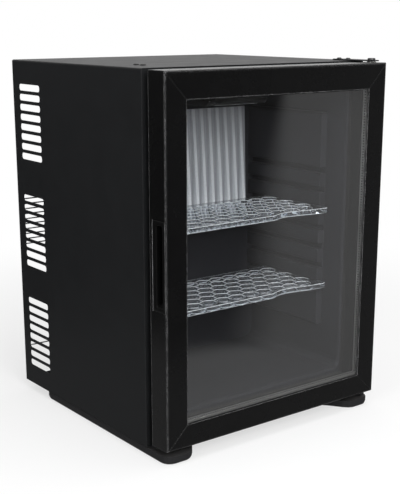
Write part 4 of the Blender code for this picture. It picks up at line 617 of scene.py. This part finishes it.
def frame_rings(bm, low, high, width, section, pitch=None):
    """Rings round the upright frame of a box, from a section of y and outward share of the width."""
    (x0, _, z0), (x1, _, z1) = low, high
    outer = [Vector(corner) for corner in ((x0, z0), (x1, z0), (x1, z1), (x0, z1))]
    inner = [corner - width * Vector(way) for corner, way in zip(outer, ((-1, -1), (1, -1), (1, 1), (-1, 1)))]
    rings = []
    for k in range(4):
        nxt = (k + 1) % 4
        count = max(1, round((inner[nxt] - inner[k]).length / pitch)) if pitch else 1
        for t in (i / count for i in range(count)):
            near, far = inner[k].lerp(inner[nxt], t), outer[k].lerp(outer[nxt], t)
            spots = ((near.lerp(far, share), y) for y, share in section)
            rings.append([bm.verts.new((spot.x, y, spot.y)) for spot, y in spots])
    return rings


def add_wire(bm, centre, axis, half, radius, steps=12):
    """A straight wire along an axis with domed ends."""
    end = [(0, half), (0.7 * radius, half - 0.3 * radius), (radius, half - radius)]
    add_turned(bm, [(r, -along) for r, along in end] + end[::-1], centre, axis, steps)


def add_weld(bm, spots, radius, seed):
    """A weld bead along a closed line of spots, a little uneven like a real one."""
    uneven = random.Random(seed)
    centre = sum((Vector(s) for s in spots), Vector()) / len(spots)
    wavy = []
    for k, spot in enumerate(spots):
        out = (Vector(spot) - centre).normalized()
        wavy.append(Vector(spot) + out * radius * (0.16 * (k % 2) + 0.10 * uneven.random()))
    add_tube(bm, wavy, radius, 8, closed=True)


def smooth_route(corners, radius, steps=10):
    """Points along straight runs with arcs of one radius at the corners."""
    corners = [Vector(c) for c in corners]
    points = [corners[0]]
    for before, corner, after in zip(corners, corners[1:], corners[2:]):
        back = (before - corner).normalized()
        ahead = (after - corner).normalized()
        half = back.angle(ahead) / 2
        reach = radius / math.tan(half)
        centre = corner + (back + ahead).normalized() * (radius / math.sin(half))
        start = corner + back * reach - centre
        end = corner + ahead * reach - centre
        sweep = start.angle(end)
        for t in (k / steps for k in range(steps + 1)):
            mixed = (start * math.sin((1 - t) * sweep) + end * math.sin(t * sweep)) / math.sin(sweep)
            points.append(centre + mixed)
    return points + [corners[-1]]


# Shelves

SHELF_CORNER = 18 * MM
REAR_CORNER = 3 * MM
NOTCH_START, NOTCH_END, NOTCH_DEPTH = 55 * MM, 160 * MM, 9 * MM
CELL_PITCH = 27 * MM
CELL_ROW_PITCH = 20 * MM
CELL_WALL = 3 * MM
CELL_CORNER = 2.2 * MM
CELL_ROWS = 6
FRONT_BAND = 9 * MM
SIDE_BAND = 6 * MM


def shelf_front(edge, x):
    """Front edge of a shelf at x: straight, with one shallow notch for the fingers."""
    if not NOTCH_START < x < NOTCH_END:
        return edge
    t = (x - NOTCH_START) / (NOTCH_END - NOTCH_START)
    return edge + NOTCH_DEPTH * math.sin(math.pi * t ** 0.6) ** 2


def shelf_loop(half, front, back):
    """Plan of a shelf, anticlockwise from its rear right corner."""
    points = arc_points((half - REAR_CORNER, back - REAR_CORNER), REAR_CORNER, 0, 90, 4)
    points += arc_points((REAR_CORNER - half, back - REAR_CORNER), REAR_CORNER, 90, 180, 4)
    points += arc_points((SHELF_CORNER - half, front + SHELF_CORNER), SHELF_CORNER, 180, 270, 10)
    notch = (NOTCH_START + (NOTCH_END - NOTCH_START) * k / 30 for k in range(31))
    points += [Vector((x, shelf_front(front, x))) for x in notch]
    last = half - NOTCH_END
    return points + arc_points((NOTCH_END, front + last), last, -90, 0, 6)[1:]


def shelf_cells(half, front):
    """Rounded six-sided cells in staggered rows, cut back where they would break the front band."""
    wide = (CELL_PITCH - CELL_WALL) / 2
    tall = (CELL_ROW_PITCH / 0.75 - 1.15 * CELL_WALL) / 2
    reach = half - SIDE_BAND - wide
    columns = int((reach + CELL_PITCH) / CELL_PITCH)
    cells = []
    for row in range(CELL_ROWS):
        y = front + FRONT_BAND + tall + row * CELL_ROW_PITCH
        for x in ((column + row % 2 / 2) * CELL_PITCH for column in range(-columns, columns + 1)):
            if abs(x) > reach:
                continue
            corners = [(x + a * wide, y + b * tall)
                       for a, b in ((0, -1), (1, -0.5), (1, 0.5), (0, 1), (-1, 0.5), (-1, -0.5))]
            loop = rounded_loop(corners, CELL_CORNER)
            if row < 2:
                fine = [a.lerp(b, i / 5) for a, b in zip(loop, loop[1:] + loop[:1]) for i in range(5)]
                kept = [Vector((p.x, max(p.y, shelf_front(front, p.x) + FRONT_BAND))) for p in fine]
                loop = loop if kept == fine else kept
            cells.append(loop[::-1])
    return cells


class MINIBAR_OT_shelves(bpy.types.Operator):
    """Moulds the two clear honeycomb shelves with rounded cell walls"""

    bl_idname = "minibar.shelves"
    bl_label = "Shelves"

    def execute(self, context):
        for node, body in (("shelf_upper", "upper_shelf"), ("shelf_lower", "lower_shelf")):
            low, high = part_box(node)
            bm = bmesh.new()
            loops = [shelf_loop(high[0], low[1], high[1])] + shelf_cells(high[0], low[1])
            add_slab(bm, loops, "z", low[2], high[2], context.scene.minibar_sizes.cell_round)
            bm.normal_update()
            for face in bm.faces:
                # Rounded rim faces take the second material, a painted highlight
                face.material_index = 1 if 0.12 < abs(face.normal.z) < 0.97 else 0
            piece = place_piece("clear_" + node, bm, body, "shelf", node, smooth=None)
            piece.data.materials.append(finish("shelf_rim"))
        return {"FINISHED"}


# Door

class MINIBAR_OT_glazing(bpy.types.Operator):
    """Makes the perforated metal spacer between the two panes"""

    bl_idname = "minibar.glazing"
    bl_label = "Glass Spacer"

    def execute(self, context):
        low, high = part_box("glazing_spacer")
        width, nick = 6.5 * MM, 1 * MM
        front, back = low[1], high[1]
        share = 1 - nick / width
        section = [(back, 0), (back, share), (back - nick, 1), (front + nick, 1), (front, share), (front, 0)]
        bm = bmesh.new()
        rings = frame_rings(bm, low, high, width, section, context.scene.minibar_sizes.spacer_pitch)
        for one, two in zip(rings, rings[1:] + rings[:1]):
            for k in range(len(section) - 1):
                bm.faces.new((one[k], one[k + 1], two[k + 1], two[k]))
            self.add_perforation(bm, one, two)
        piece = place_piece("perforated_spacer", bm, "door", "spacer", "glazing_spacer",
                            smooth=None)
        # Second material for the pits: black, painted shade for the depth of each perforation
        piece.data.materials.append(finish("inner"))
        return {"FINISHED"}

    def add_perforation(self, bm, one, two):
        """One pitch of the inner face with its small sunk slot, finished black as painted shade for the hole.
        """
        corners = [one[-1], one[0], two[0], two[-1]]
        centre = sum((v.co for v in corners), Vector()) / 4
        along = (two[0].co - one[0].co) / 2
        across = (one[0].co - one[-1].co) / 2
        sunk = along.cross(across).normalized() * 0.6 * MM
        if sunk.dot(one[1].co - one[0].co) < 0:
            sunk.negate()
        rim = [centre + a * 0.55 * along + b * 0.30 * across for a, b in ((-1, -1), (-1, 1), (1, 1), (1, -1))]
        rim = [bm.verts.new(p) for p in rim]
        pit = [bm.verts.new(v.co + sunk) for v in rim]
        for k in range(4):
            nxt = (k + 1) % 4
            bm.faces.new((corners[k], corners[nxt], rim[nxt], rim[k]))
            bm.faces.new((rim[k], rim[nxt], pit[nxt], pit[k])).material_index = 1
        bm.faces.new(pit).material_index = 1


class MINIBAR_OT_grip(bpy.types.Operator):
    """Moulds the finger grip let into the free edge of the door"""

    bl_idname = "minibar.grip"
    bl_label = "Finger Grip"

    def execute(self, context):
        (face, y0, z0), (floor, y1, z1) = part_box("door_grip")
        wall, end, side = 1.5 * MM, 5.7 * MM, 8.4 * MM
        lip = ((y0, z0), (y1, z1))
        mouth = ((y0 + 5.6 * MM, z0 + end), (y1 - side, z1 - end))
        cup = ((y0 + wall, z0 + end), (y1 - side, z1 - end))
        outside, inside = (floor - face) / MM, (floor - wall - face) / MM
        # Depth behind the lip's face in mm, outline, corner radius, growth all round and lift of the foot
        rows = [
            (outside, cup, 2.0, 0.9, 6), (4, cup, 2.5, 0.9, 0),
            (2.5, lip, 1.5, -0.5, 0), (0.6, lip, 1.5, 0, 0),
            (0.2, lip, 1.5, -0.15, 0), (0, lip, 1.2, -0.6, 0),
            (0, mouth, 3.4, 0.9, 0), (0.3, mouth, 3.0, 0.3, 0),
            (1.0, mouth, 2.8, 0, 0), (2.6, mouth, 2.8, 0, 0),
            (3.6, cup, 2.4, 0, 0), (inside - 2, cup, 2.2, 0, 5), (inside, cup, 2.0, -1.5, 8),
        ]
        bm = bmesh.new()
        rings = []
        for depth, (low, high), radius, grow, lift in rows:
            low = (low[0] - grow * MM, low[1] + (lift - grow) * MM)
            high = (high[0] + grow * MM, high[1] + grow * MM)
            spots = round_rectangle(low, high, radius * MM, 5)
            rings.append([bm.verts.new((face + depth * MM - self.swell(depth, p, *lip), *p)) for p in spots])
        skin_rings(bm, rings, capped=True)
        place_piece("finger_grip", bm, "door", "grip", "door_grip")
        return {"FINISHED"}

    def swell(self, depth, point, low, high):
        """How far the lip swells towards the middle of its front edge."""
        along = (point.y - low[1]) / (high[1] - low[1])
        near = max(0.0, 1 - (point.x - low[0]) / (6 * MM))
        shallow = max(0.0, 1 - depth / 2)
        return 0.9 * MM * math.sin(math.pi * min(max(along, 0.0), 1.0)) ** 0.7 * near * shallow


class MINIBAR_OT_seal(bpy.types.Operator):
    """Moulds the soft magnetic seal behind the door"""

    bl_idname = "minibar.seal"
    bl_label = "Door Seal"

    def execute(self, context):
        low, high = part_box("door_seal")
        # The section in mm, from its inner rim and from its face on the door
        width, skin, dart, pocket = 11.3, 0.8, 6.3, 2.0
        head = (high[1] - low[1]) / MM
        top, foot = head - skin, head - skin - pocket
        barb = [(0.7, 0), (1.2, 1.0), (0.8, 1.3), (1.2, 2.3), (0.8, 2.8), (1.0, 4.1)]
        bellows = [(0, 4.1), (0.2, 4.9), (1.7, 5.8), (0.4, 7.0), (1.7, 7.9), (0, foot - skin)]
        points = [(dart + a, b) for a, b in barb] + [(width - a, b) for a, b in bellows]
        points += [(width, foot), (skin, foot), (skin, top), (width, top), (width, head), (0, head)]
        points += [(a, b) for a, b in reversed(bellows)] + [(dart - a, b) for a, b in reversed(barb)]
        loop = rounded_loop([(a * MM, low[1] + b * MM) for a, b in points], 0.25 * MM, 2)
        section = [(p.y, 1 - p.x / (width * MM)) for p in loop]
        bm = bmesh.new()
        skin_rings(bm, frame_rings(bm, low, high, width * MM, section), closed=True)
        place_piece("bellows_seal", bm, "door", "rubber", "door_seal", smooth=40)
        return {"FINISHED"}


# Cooling unit

UNIT_Y = 150.35 * MM
TUBE = 7.5 * MM
COIL_X = -15 * MM
COIL_HALF, COIL_START = 85 * MM, 22 * MM
COIL_RUNS, COIL_PITCH, COIL_FALL, COIL_BEND = 5, 44 * MM, 6 * MM, 13.5 * MM
FIN_HALF = 60 * MM
BOILER_X = 140 * MM
DOWN_X = -128 * MM
CONDENSER_Z = 480 * MM
EVAPORATOR_Z = 400 * MM
GUARD_ROWS, GUARD_PITCH, POST_X = 11, 8.1 * MM, 126 * MM


class MINIBAR_OT_coil(bpy.types.Operator):
    """Bends the absorber coil and seams its vessel, with weld beads where they meet"""

    bl_idname = "minibar.coil"
    bl_label = "Absorber"

    def execute(self, context):
        low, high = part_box("absorber_vessel")
        half, radius = (high[0] - low[0]) / 2, (high[2] - low[2]) / 2
        centre = (COIL_X, UNIT_Y, middle(low, high)[2])
        cap, sunk = 14 * MM, 0.5 * MM
        quarter = (math.pi / 2 * k / 7 for k in range(8))
        right = [(radius * math.sin(a), half - cap * (1 - math.cos(a))) for a in quarter]
        groove = ((0, 3), (sunk, 4), (sunk, 6), (0, 7))
        right += [(radius - deep, half - cap - back * MM) for deep, back in groove]
        bm = bmesh.new()
        add_turned(bm, [(r, -along) for r, along in right] + right[::-1], centre, "x", 48)
        for side in (-1, 1):
            seam = (centre[0] + side * (half - cap - 5 * MM), centre[1], centre[2])
            add_weld(bm, ring_spots(seam, radius - 0.7 * MM, "x", 72), 0.7 * MM, 3 + side)
        place_piece("seamed_vessel", bm, "cabinet", "lacquer", "absorber_vessel")
        low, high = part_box("absorber_coil")
        left, right = COIL_X - COIL_HALF, COIL_X + COIL_HALF
        stub_x, z = right - 2 * COIL_BEND, low[2] + COIL_START
        corners = [(stub_x, UNIT_Y, low[2]), (stub_x, UNIT_Y, z)]
        for run in range(COIL_RUNS):
            side = right if run % 2 else left
            corners += [(side, UNIT_Y, z + COIL_FALL), (side, UNIT_Y, z + COIL_PITCH)]
            z += COIL_PITCH
        corners[-1] = (side, UNIT_Y, high[2])
        bm = bmesh.new()
        add_tube(bm, smooth_route(corners, COIL_BEND), TUBE, 24)
        foot = ring_spots((stub_x, UNIT_Y, 0), TUBE + 0.2 * MM, "z", 30)
        for spot in foot:
            spot.z = centre[2] + math.sqrt((radius + 0.5 * MM) ** 2 - (spot.y - UNIT_Y) ** 2)
        add_weld(bm, foot, 0.9 * MM, 11)
        place_piece("bent_absorber_coil", bm, "cabinet", "lacquer", "absorber_coil")
        return {"FINISHED"}


class MINIBAR_OT_pipes(bpy.types.Operator):
    """Bends the condenser, evaporator and liquid tubes, with a weld bead at each joint"""

    bl_idname = "minibar.pipes"
    bl_label = "Tubes"

    def execute(self, context):
        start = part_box("boiler_column")[1][2] + 0.3 * MM
        low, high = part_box("condenser_tube")
        route = [(BOILER_X, UNIT_Y, start), (BOILER_X, UNIT_Y, CONDENSER_Z),
                 (DOWN_X, UNIT_Y, CONDENSER_Z), (DOWN_X, UNIT_Y, low[2])]
        self.bend("condenser_tube", route, 18 * MM, TUBE, [(route[0], "z")])
        low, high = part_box("evaporator_tube")
        route = [(DOWN_X, UNIT_Y, high[2]), (DOWN_X, UNIT_Y, EVAPORATOR_Z), (0, UNIT_Y, EVAPORATOR_Z),
                 (0, low[1], EVAPORATOR_Z)]
        self.bend("evaporator_tube", route, 18 * MM, TUBE, [(route[0], "z")])
        low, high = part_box("liquid_tube")
        turn, start, foot = 88.15 * MM, 78 * MM, 46 * MM
        route = [(low[0], UNIT_Y, start), (turn, UNIT_Y, start),
                 (turn, UNIT_Y, foot), (high[0], UNIT_Y, foot)]
        self.bend("liquid_tube", route, 10 * MM, 5 * MM, [(route[0], "x"), (route[-1], "x")])
        return {"FINISHED"}

    def bend(self, node, route, radius, thickness, joints):
        bm = bmesh.new()
        add_tube(bm, smooth_route(route, radius), thickness, 24)
        for number, (spot, axis) in enumerate(joints):
            add_weld(bm, ring_spots(spot, thickness + 0.1 * MM, axis), 0.9 * MM, 20 + number)
        place_piece("bent_" + node, bm, "cabinet", "lacquer", node)


class MINIBAR_OT_fins(bpy.types.Operator):
    """Presses the thin condenser fins onto their drawn collar"""

    bl_idname = "minibar.fins"
    bl_label = "Condenser Fins"

    def execute(self, context):
        low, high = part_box("condenser_fins")
        count, sheet = context.scene.minibar_sizes.fin_count, 0.5 * MM
        bore, collar = 7.8 * MM, 9 * MM
        first, last = COIL_X - FIN_HALF, COIL_X + FIN_HALF
        pitch = (last - first) / (count - 1)

        def ring(x, radius):
            return ring_spots((x, UNIT_Y, CONDENSER_Z), radius, "x", 32)

        outline = round_rectangle((low[1], low[2]), (high[1], high[2]), 4 * MM)
        hole = [spot.yz for spot in reversed(ring(0, collar))]
        bm = bmesh.new()
        spots = []
        for x in (first + k * pitch for k in range(count)):
            add_slab(bm, [outline, hole], "x", x - sheet / 2, x + sheet / 2, 0.12 * MM, 1)
            for along, swell in ((-0.5, 0), (0.0, 0.9 * MM), (0.16, 0.25 * MM), (0.3, 0)):
                spots.append(ring(x + along * pitch, collar + swell))
        spots += [ring(last + pitch / 2, bore), ring(first - pitch / 2, bore)]
        skin_rings(bm, [[bm.verts.new(spot) for spot in row] for row in spots], closed=True)
        place_piece("pressed_condenser_fins", bm, "cabinet", "fin", "condenser_fins")
        return {"FINISHED"}


class MINIBAR_OT_guard(bpy.types.Operator):
    """Welds the round wires of the rear guard to their two posts"""

    bl_idname = "minibar.guard"
    bl_label = "Rear Guard"

    def execute(self, context):
        low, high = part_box("rear_wire_guard")
        r = context.scene.minibar_sizes.wire_radius
        wire_y, post_y = high[1] - r, low[1] + r
        heights = [high[2] - 3 * r - k * GUARD_PITCH for k in range(GUARD_ROWS)] + [low[2] + 3 * r]
        angles = (math.pi * k / 8 for k in range(9))
        nugget = [(1.5 * r * math.sin(a), -1.1 * r * math.cos(a)) for a in angles]
        bm = bmesh.new()
        for z in heights:
            add_wire(bm, (0, wire_y, z), "x", high[0], r)
            for x in (-POST_X, POST_X):
                add_turned(bm, nugget, (x, (wire_y + post_y) / 2, z), "z", 12)
        for x in (-POST_X, POST_X):
            add_wire(bm, (x, post_y, middle(low, high)[2]), "z", (high[2] - low[2]) / 2, r)
        place_piece("round_wire_guard", bm, "cabinet", "zinc", "rear_wire_guard", smooth=50)
        return {"FINISHED"}


# Small fittings

KNOB_BACK = -101.95 * MM


class MINIBAR_OT_thermostat(bpy.types.Operator):
    """Turns the fluted thermostat knob with its pointer, and raises the dial marks round it"""

    bl_idname = "minibar.thermostat"
    bl_label = "Thermostat Knob"

    def execute(self, context):
        low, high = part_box("thermostat_knob")
        axis_x, _, axis_z = middle(low, high)
        radius, spindle = (high[0] - low[0]) / 2, 3 * MM
        tip = low[1] + 1 * MM
        steps, flutes, flute_depth = 144, 24, 0.25 * MM
        waves = [1 + math.cos(flutes * 2 * math.pi * k / steps) for k in range(steps)]
        # Radius, place along the axis and how deep the flutes are
        sections = [(spindle, high[1], 0), (spindle, KNOB_BACK, 0), (radius, KNOB_BACK, 0),
                    (radius, KNOB_BACK - 1.4 * MM, 0), (0.95 * radius, KNOB_BACK - 2.0 * MM, 1),
                    (0.90 * radius, tip + 1.6 * MM, 1), (0.86 * radius, tip + 0.5 * MM, 0.5),
                    (0.80 * radius, tip, 0), (0.60 * radius, tip + 0.3 * MM, 0)]
        bm = bmesh.new()
        rings = []
        for reach, y, depth in sections:
            cuts = [reach - depth * flute_depth * wave for wave in waves]
            rings.append([bm.verts.new((axis_x + cut * a, y, axis_z + cut * b))
                          for cut, (a, b) in zip(cuts, circle(1, steps))])
        skin_rings(bm, rings, capped=True)
        reach, wide, point = 0.8 * radius, 0.9 * MM, 0.8 * radius - 2 * MM
        pointer = [(-wide, -reach), (wide, -reach), (wide, point), (0, reach), (-wide, point)]
        loop = rounded_loop([(axis_x + a, axis_z + b) for a, b in pointer], 0.5 * MM, 2)
        add_slab(bm, [loop], "y", low[1], tip + 0.6 * MM, 0.3 * MM)
        place_piece("fluted_knob", bm, "thermostat", "inner", "thermostat_knob")
        bm = bmesh.new()
        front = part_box("lamp_housing")[0][1]
        near, far = radius + 0.4 * MM, radius + 1.2 * MM
        marks, apart = 10, 30
        for k in range(marks):
            turn = math.radians(90 - apart * k)
            out = Vector((math.cos(turn), math.sin(turn)))
            across = (0.15 + 0.02 * k) * MM * Vector((-out.y, out.x))
            mark = [near * out - across, far * out - across, far * out + across, near * out + across]
            loop = rounded_loop([(axis_x + c.x, axis_z + c.y) for c in mark], 0.12 * MM, 2)
            add_slab(bm, [loop], "y", front - 0.2 * MM, front - 0.01 * MM, 0.05 * MM, 2)
        place_piece("dial_marks", bm, "cabinet", "frosted")
        return {"FINISHED"}


class MINIBAR_OT_lens(bpy.types.Operator):
    """Moulds the ribbed lens of the ceiling lamp"""

    bl_idname = "minibar.lens"
    bl_label = "Lamp Lens"

    def execute(self, context):
        low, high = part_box("lamp_lens")
        rib, steps, sag = 2.2 * MM, 5, 0.5 * MM
        count = round((high[0] - low[0]) / rib)
        pitch = (high[0] - low[0]) / count / steps
        outline = [Vector((low[0], high[2]))]
        outline += [Vector((low[0] + k * pitch, low[2] + sag * abs(math.cos(math.pi * (k % steps) / steps))))
                    for k in range(count * steps)]
        outline += [Vector((high[0], low[2] + sag)), Vector((high[0], high[2]))]
        bm = bmesh.new()
        add_slab(bm, [outline], "y", low[1], high[1], 0.15 * MM, 2)
        place_piece("ribbed_lens", bm, "cabinet", "frosted", "lamp_lens", smooth=50)
        return {"FINISHED"}


class MINIBAR_OT_fasteners(bpy.types.Operator):
    """Cuts the crosses in the screws, and rounds the pin cap and the two hole plugs"""

    bl_idname = "minibar.fasteners"
    bl_label = "Fasteners"

    def execute(self, context):
        for number in (1, 2):
            self.add_screw("top_hinge_screw_%d" % number, "z", "black_steel", 15 + 40 * number)
            self.add_screw("bottom_hinge_screw_%d" % number, "y", "zinc", 33 * number)
            self.add_plug("hole_plug_%d" % number)
        self.add_pin("top_hinge_pin")
        return {"FINISHED"}

    def add_plug(self, node):
        """A domed plug on a short stem."""
        low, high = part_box(node)
        x, y, _ = middle(low, high)
        foot, crown = low[2], high[2]
        radius, rise, stem = (high[0] - low[0]) / 2, 1.6 * MM, 1.8 * MM
        profile = [(0, foot), (stem - 0.4 * MM, foot), (stem, foot + 1 * MM), (stem, crown - rise)]
        profile += [(radius * math.cos(a), crown - rise * (1 - math.sin(a)) ** 1.5)
                    for a in (math.pi / 2 * k / 6 for k in range(7))]
        bm = bmesh.new()
        add_turned(bm, profile, (x, y, 0), "z")
        place_piece("domed_" + node, bm, "cabinet", "bead", node)

    def add_pin(self, node):
        """The upper hinge pin with its dimpled cap."""
        low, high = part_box(node)
        x, y, _ = middle(low, high)
        foot, crown = low[2], high[2]
        radius, cap, shank = (high[0] - low[0]) / 2, 2.6 * MM, 3 * MM
        profile = [(0, foot), (0.7 * shank, foot), (shank, foot + 1 * MM), (shank, crown - cap),
                   (radius, crown - cap), (radius, crown - 1 * MM), (radius - 0.3 * MM, crown - 0.4 * MM),
                   (radius - 1 * MM, crown), (1.6 * MM, crown), (1.3 * MM, crown - 0.5 * MM),
                   (0, crown - 0.6 * MM)]
        bm = bmesh.new()
        add_turned(bm, profile, (x, y, 0), "z", 48)
        place_piece("dimpled_hinge_pin", bm, "cabinet", "black_steel", node)

    def add_screw(self, node, axis, look, turn):
        """A pan head with a cross recess on a pointed shank with rolled threads."""
        low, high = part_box(node)
        x, y, z = middle(low, high)
        (a0, b0), tip, crown = ((x, y), low[2], high[2]) if axis == "z" else ((x, z), high[1], low[1])
        way = math.copysign(MM, crown - tip)
        radius, shank, root = 3.6 * MM, 1.8 * MM, 1.44 * MM
        seat = crown - 1.8 * way
        profile = [(0.4 * shank, tip + 0.5 * way), (root, tip + 1.8 * way)]
        along = tip + 2 * way
        while abs(seat - along) > 1.2 * MM:
            profile += [(root, along), (shank, along + 0.25 * way), (root, along + 0.5 * way)]
            along += 0.8 * way
        profile += [(root, seat), (radius, seat), (radius, seat + 0.3 * way)]
        profile += [(radius * math.cos(a), seat + (0.3 + 1.5 * math.sin(a)) * way)
                    for a in (math.radians(10 + 12 * k) for k in range(5))]
        bm = bmesh.new()

        def ring(points, level):
            return [bm.verts.new(AXIS_ORDER[axis](a0 + a, b0 + b, level)) for a, b in points]

        rings = [ring(circle(reach, 32), level) for reach, level in profile]
        skin_rings(bm, rings)
        bm.faces.new(rings[0])
        long, wide = 0.42 * radius, 0.13 * radius
        arm = [Vector(corner) for corner in ((long, -wide), (long, wide), (wide, wide))]
        turns = [Matrix.Rotation(math.radians(turn + 90 * k), 2) for k in range(4)]
        cross = [spin @ corner for spin in turns for corner in arm]
        crosses = [ring([corner * share for corner in cross], level)
                   for share, level in ((1.0, profile[-1][1]), (0.55, crown - 1.2 * way))]
        skin_with_holes(bm, [rings[-1], crosses[0][::-1]])
        skin_rings(bm, crosses, smooth=False)
        bm.faces.new(crosses[1])
        place_piece("cross_" + node, bm, "cabinet", look, node)


# Stage

FLOOR_REACH, FLOOR_STEPS = 30.0, 6
FLOOR_SINK = 0.2 * MM
LAMP_AIM = Vector((0.0, -0.05, 0.27))


class MINIBAR_OT_stage(bpy.types.Operator):
    """Lays the pale floor, the soft lamps, the white surround and the camera"""

    bl_idname = "minibar.stage"
    bl_label = "Stage"

    def execute(self, context):
        settings = context.scene.minibar_stage
        self.lay_floor(settings)
        self.light_world(context.scene, settings)
        self.hang_lamps(settings)
        self.set_camera(context.scene)
        context.scene.view_settings.view_transform = "Standard"
        return {"FINISHED"}

    def lay_floor(self, settings):
        colour = (*settings.floor, 1.0)
        made, tree, shader = new_finish("pale_floor", Base_Color=colour, Specular_IOR_Level=0.0)
        place = add_node(tree, "TexCoord").outputs["Object"]
        rough = noise(tree, (0.0, 0.0, 0.0), 3.0, 2.0)
        feed(tree, shader.inputs["Roughness"], mapped(tree, rough, UNIT, (0.82, 0.92)))
        glow = add_node(tree, "Emission", Strength=self.studio_level(tree, place))
        far = stepped(tree, vector_calc(tree, "LENGTH", place), 0.35, 1.3, (0.62, 1.0))
        share = calc(tree, "MULTIPLY", self.seen_mask(tree), far)
        mix = add_node(tree, "MixShader", calc(tree, "MAXIMUM", share, self.mirror_mask(tree)),
                       shader.outputs[0], glow.outputs[0])
        feed(tree, tree.nodes["Material Output"].inputs["Surface"], mix.outputs[0])
        bm = bmesh.new()
        bmesh.ops.create_grid(bm, x_segments=FLOOR_STEPS, y_segments=FLOOR_STEPS, size=FLOOR_REACH)
        floor = mesh_object("stage_floor", bm, made)
        floor.location.z = -FLOOR_SINK

    def seen_mask(self, tree):
        """1 for camera, glossy and transmitted rays, and 0 for those that carry the light itself."""
        path = add_node(tree, "LightPath").outputs
        mirrored = calc(tree, "MAXIMUM", path["Is Camera Ray"], path["Is Glossy Ray"])
        return calc(tree, "MAXIMUM", mirrored, path["Is Transmission Ray"])

    def mirror_mask(self, tree):
        """1 for rays that a surface mirrors, 0 for those that pass through one."""
        path = add_node(tree, "LightPath").outputs
        return calc(tree, "SUBTRACT", path["Is Glossy Ray"], path["Is Transmission Ray"], use_clamp=True)

    def unless_mirrored(self, tree, level):
        """1, or the level for mirrored rays."""
        mix = add_node(tree, "Mix", self.mirror_mask(tree), data_type="FLOAT")
        feed(tree, mix.inputs[2], 1.0)
        feed(tree, mix.inputs[3], level)
        return mix.outputs[0]

    def studio_level(self, tree, place):
        """White as seen; in reflections a white sheet round the object and to its right, and a dim room."""
        sheet = stepped(tree, vector_calc(tree, "LENGTH", place), 0.66, 0.54)
        right = stepped(tree, vector_calc(tree, "DOT_PRODUCT", place, (0.737, 0.677, 0.0)), -0.26, -0.12)
        east = stepped(tree, add_node(tree, "SeparateXYZ", place).outputs["X"], -0.30, -0.15)
        offset = vector_calc(tree, "DOT_PRODUCT", place, (0.797, -0.604, 0.0))
        strip = stepped(tree, calc(tree, "ABSOLUTE", offset), 0.34, 0.26)
        bright = calc(tree, "MAXIMUM", sheet, calc(tree, "MINIMUM", right, east))
        bright = calc(tree, "MAXIMUM", bright, strip)
        return self.unless_mirrored(tree, mapped(tree, bright, UNIT, (0.04, 0.31)))

    def light_world(self, scene, settings):
        world = bpy.data.worlds.new("white_surround")
        world.use_nodes = True
        tree = world.node_tree
        tree.nodes.clear()
        place = add_node(tree, "TexCoord").outputs["Generated"]
        side = vector_calc(tree, "DOT_PRODUCT", place, (0.7, 0.7, 0.0))
        front = vector_calc(tree, "DOT_PRODUCT", place, (-0.35, -0.80, 0.48))
        room = stepped(tree, side, 0.2, 0.7, (0.12, 1.0))
        softbox = stepped(tree, front, 0.92, 0.97, (0.0, 5.0))
        level = self.unless_mirrored(tree, calc(tree, "MAXIMUM", room, softbox))
        white = (1.0, 1.0, 1.0, 1.0)
        even, seen = (add_node(tree, "Background", white, power) for power in (settings.ambient, level))
        mix = add_node(tree, "MixShader", self.seen_mask(tree), even.outputs[0], seen.outputs[0])
        add_node(tree, "OutputWorld", mix.outputs[0])
        scene.world = world

    def hang_lamps(self, settings):
        for name, power, place, size in (
            ("key_softbox", settings.key, (-0.55, -1.9, 1.25), 1.1),
            ("fill_softbox", settings.fill, (-2.0, -0.5, 0.9), 1.2),
            ("top_softbox", settings.top, (0.2, -0.3, 2.1), 1.4),
        ):
            lamp = bpy.data.lights.new(name, "AREA")
            lamp.shape = "RECTANGLE"
            lamp.size = lamp.size_y = size
            lamp.energy = power
            holder = add_object(name, lamp)
            holder.visible_transmission = False
            holder.location = place
            holder.rotation_euler = (LAMP_AIM - Vector(place)).to_track_quat("-Z", "Y").to_euler()

    def set_camera(self, scene):
        camera = bpy.data.cameras.new("photo_camera")
        camera.lens = CAMERA_LENS
        camera.sensor_width = 36.0
        camera.shift_y = CAMERA_RISE
        camera.clip_start = 0.05
        holder = add_object("photo_camera", camera)
        holder.location = CAMERA_PLACE
        holder.rotation_euler = CAMERA_TURN
        scene.camera = holder


class MINIBAR_PT_panel(bpy.types.Panel):
    """Settings and steps of the minibar"""

    bl_label = "Minibar"
    bl_idname = "MINIBAR_PT_panel"
    bl_space_type = "VIEW_3D"
    bl_region_type = "UI"
    bl_category = "Minibar"

    def draw(self, context):
        for group in (context.scene.minibar_finish, context.scene.minibar_sizes, context.scene.minibar_stage):
            box = self.layout.box()
            for key in group.__annotations__:
                box.prop(group, key)
        for step in STEPS:
            self.layout.operator(step.bl_idname)


STEPS = [
    MINIBAR_OT_finishes, MINIBAR_OT_shelves, MINIBAR_OT_glazing, MINIBAR_OT_grip, MINIBAR_OT_seal,
    MINIBAR_OT_coil, MINIBAR_OT_pipes, MINIBAR_OT_fins, MINIBAR_OT_guard, MINIBAR_OT_thermostat,
    MINIBAR_OT_lens, MINIBAR_OT_fasteners, MINIBAR_OT_stage,
]
GROUPS = [MinibarFinish, MinibarSizes, MinibarStage]


def register():
    for cls in GROUPS + STEPS + [MINIBAR_PT_panel]:
        bpy.utils.register_class(cls)
    bpy.types.Scene.minibar_finish = PointerProperty(type=MinibarFinish)
    bpy.types.Scene.minibar_sizes = PointerProperty(type=MinibarSizes)
    bpy.types.Scene.minibar_stage = PointerProperty(type=MinibarStage)


def unregister():
    del bpy.types.Scene.minibar_stage
    del bpy.types.Scene.minibar_sizes
    del bpy.types.Scene.minibar_finish
    for cls in reversed(GROUPS + STEPS + [MINIBAR_PT_panel]):
        bpy.utils.unregister_class(cls)


def main():
    register()
    for step in STEPS:
        family, _, action = step.bl_idname.partition(".")
        getattr(getattr(bpy.ops, family), action)()


if __name__ == "__main__":
    main()
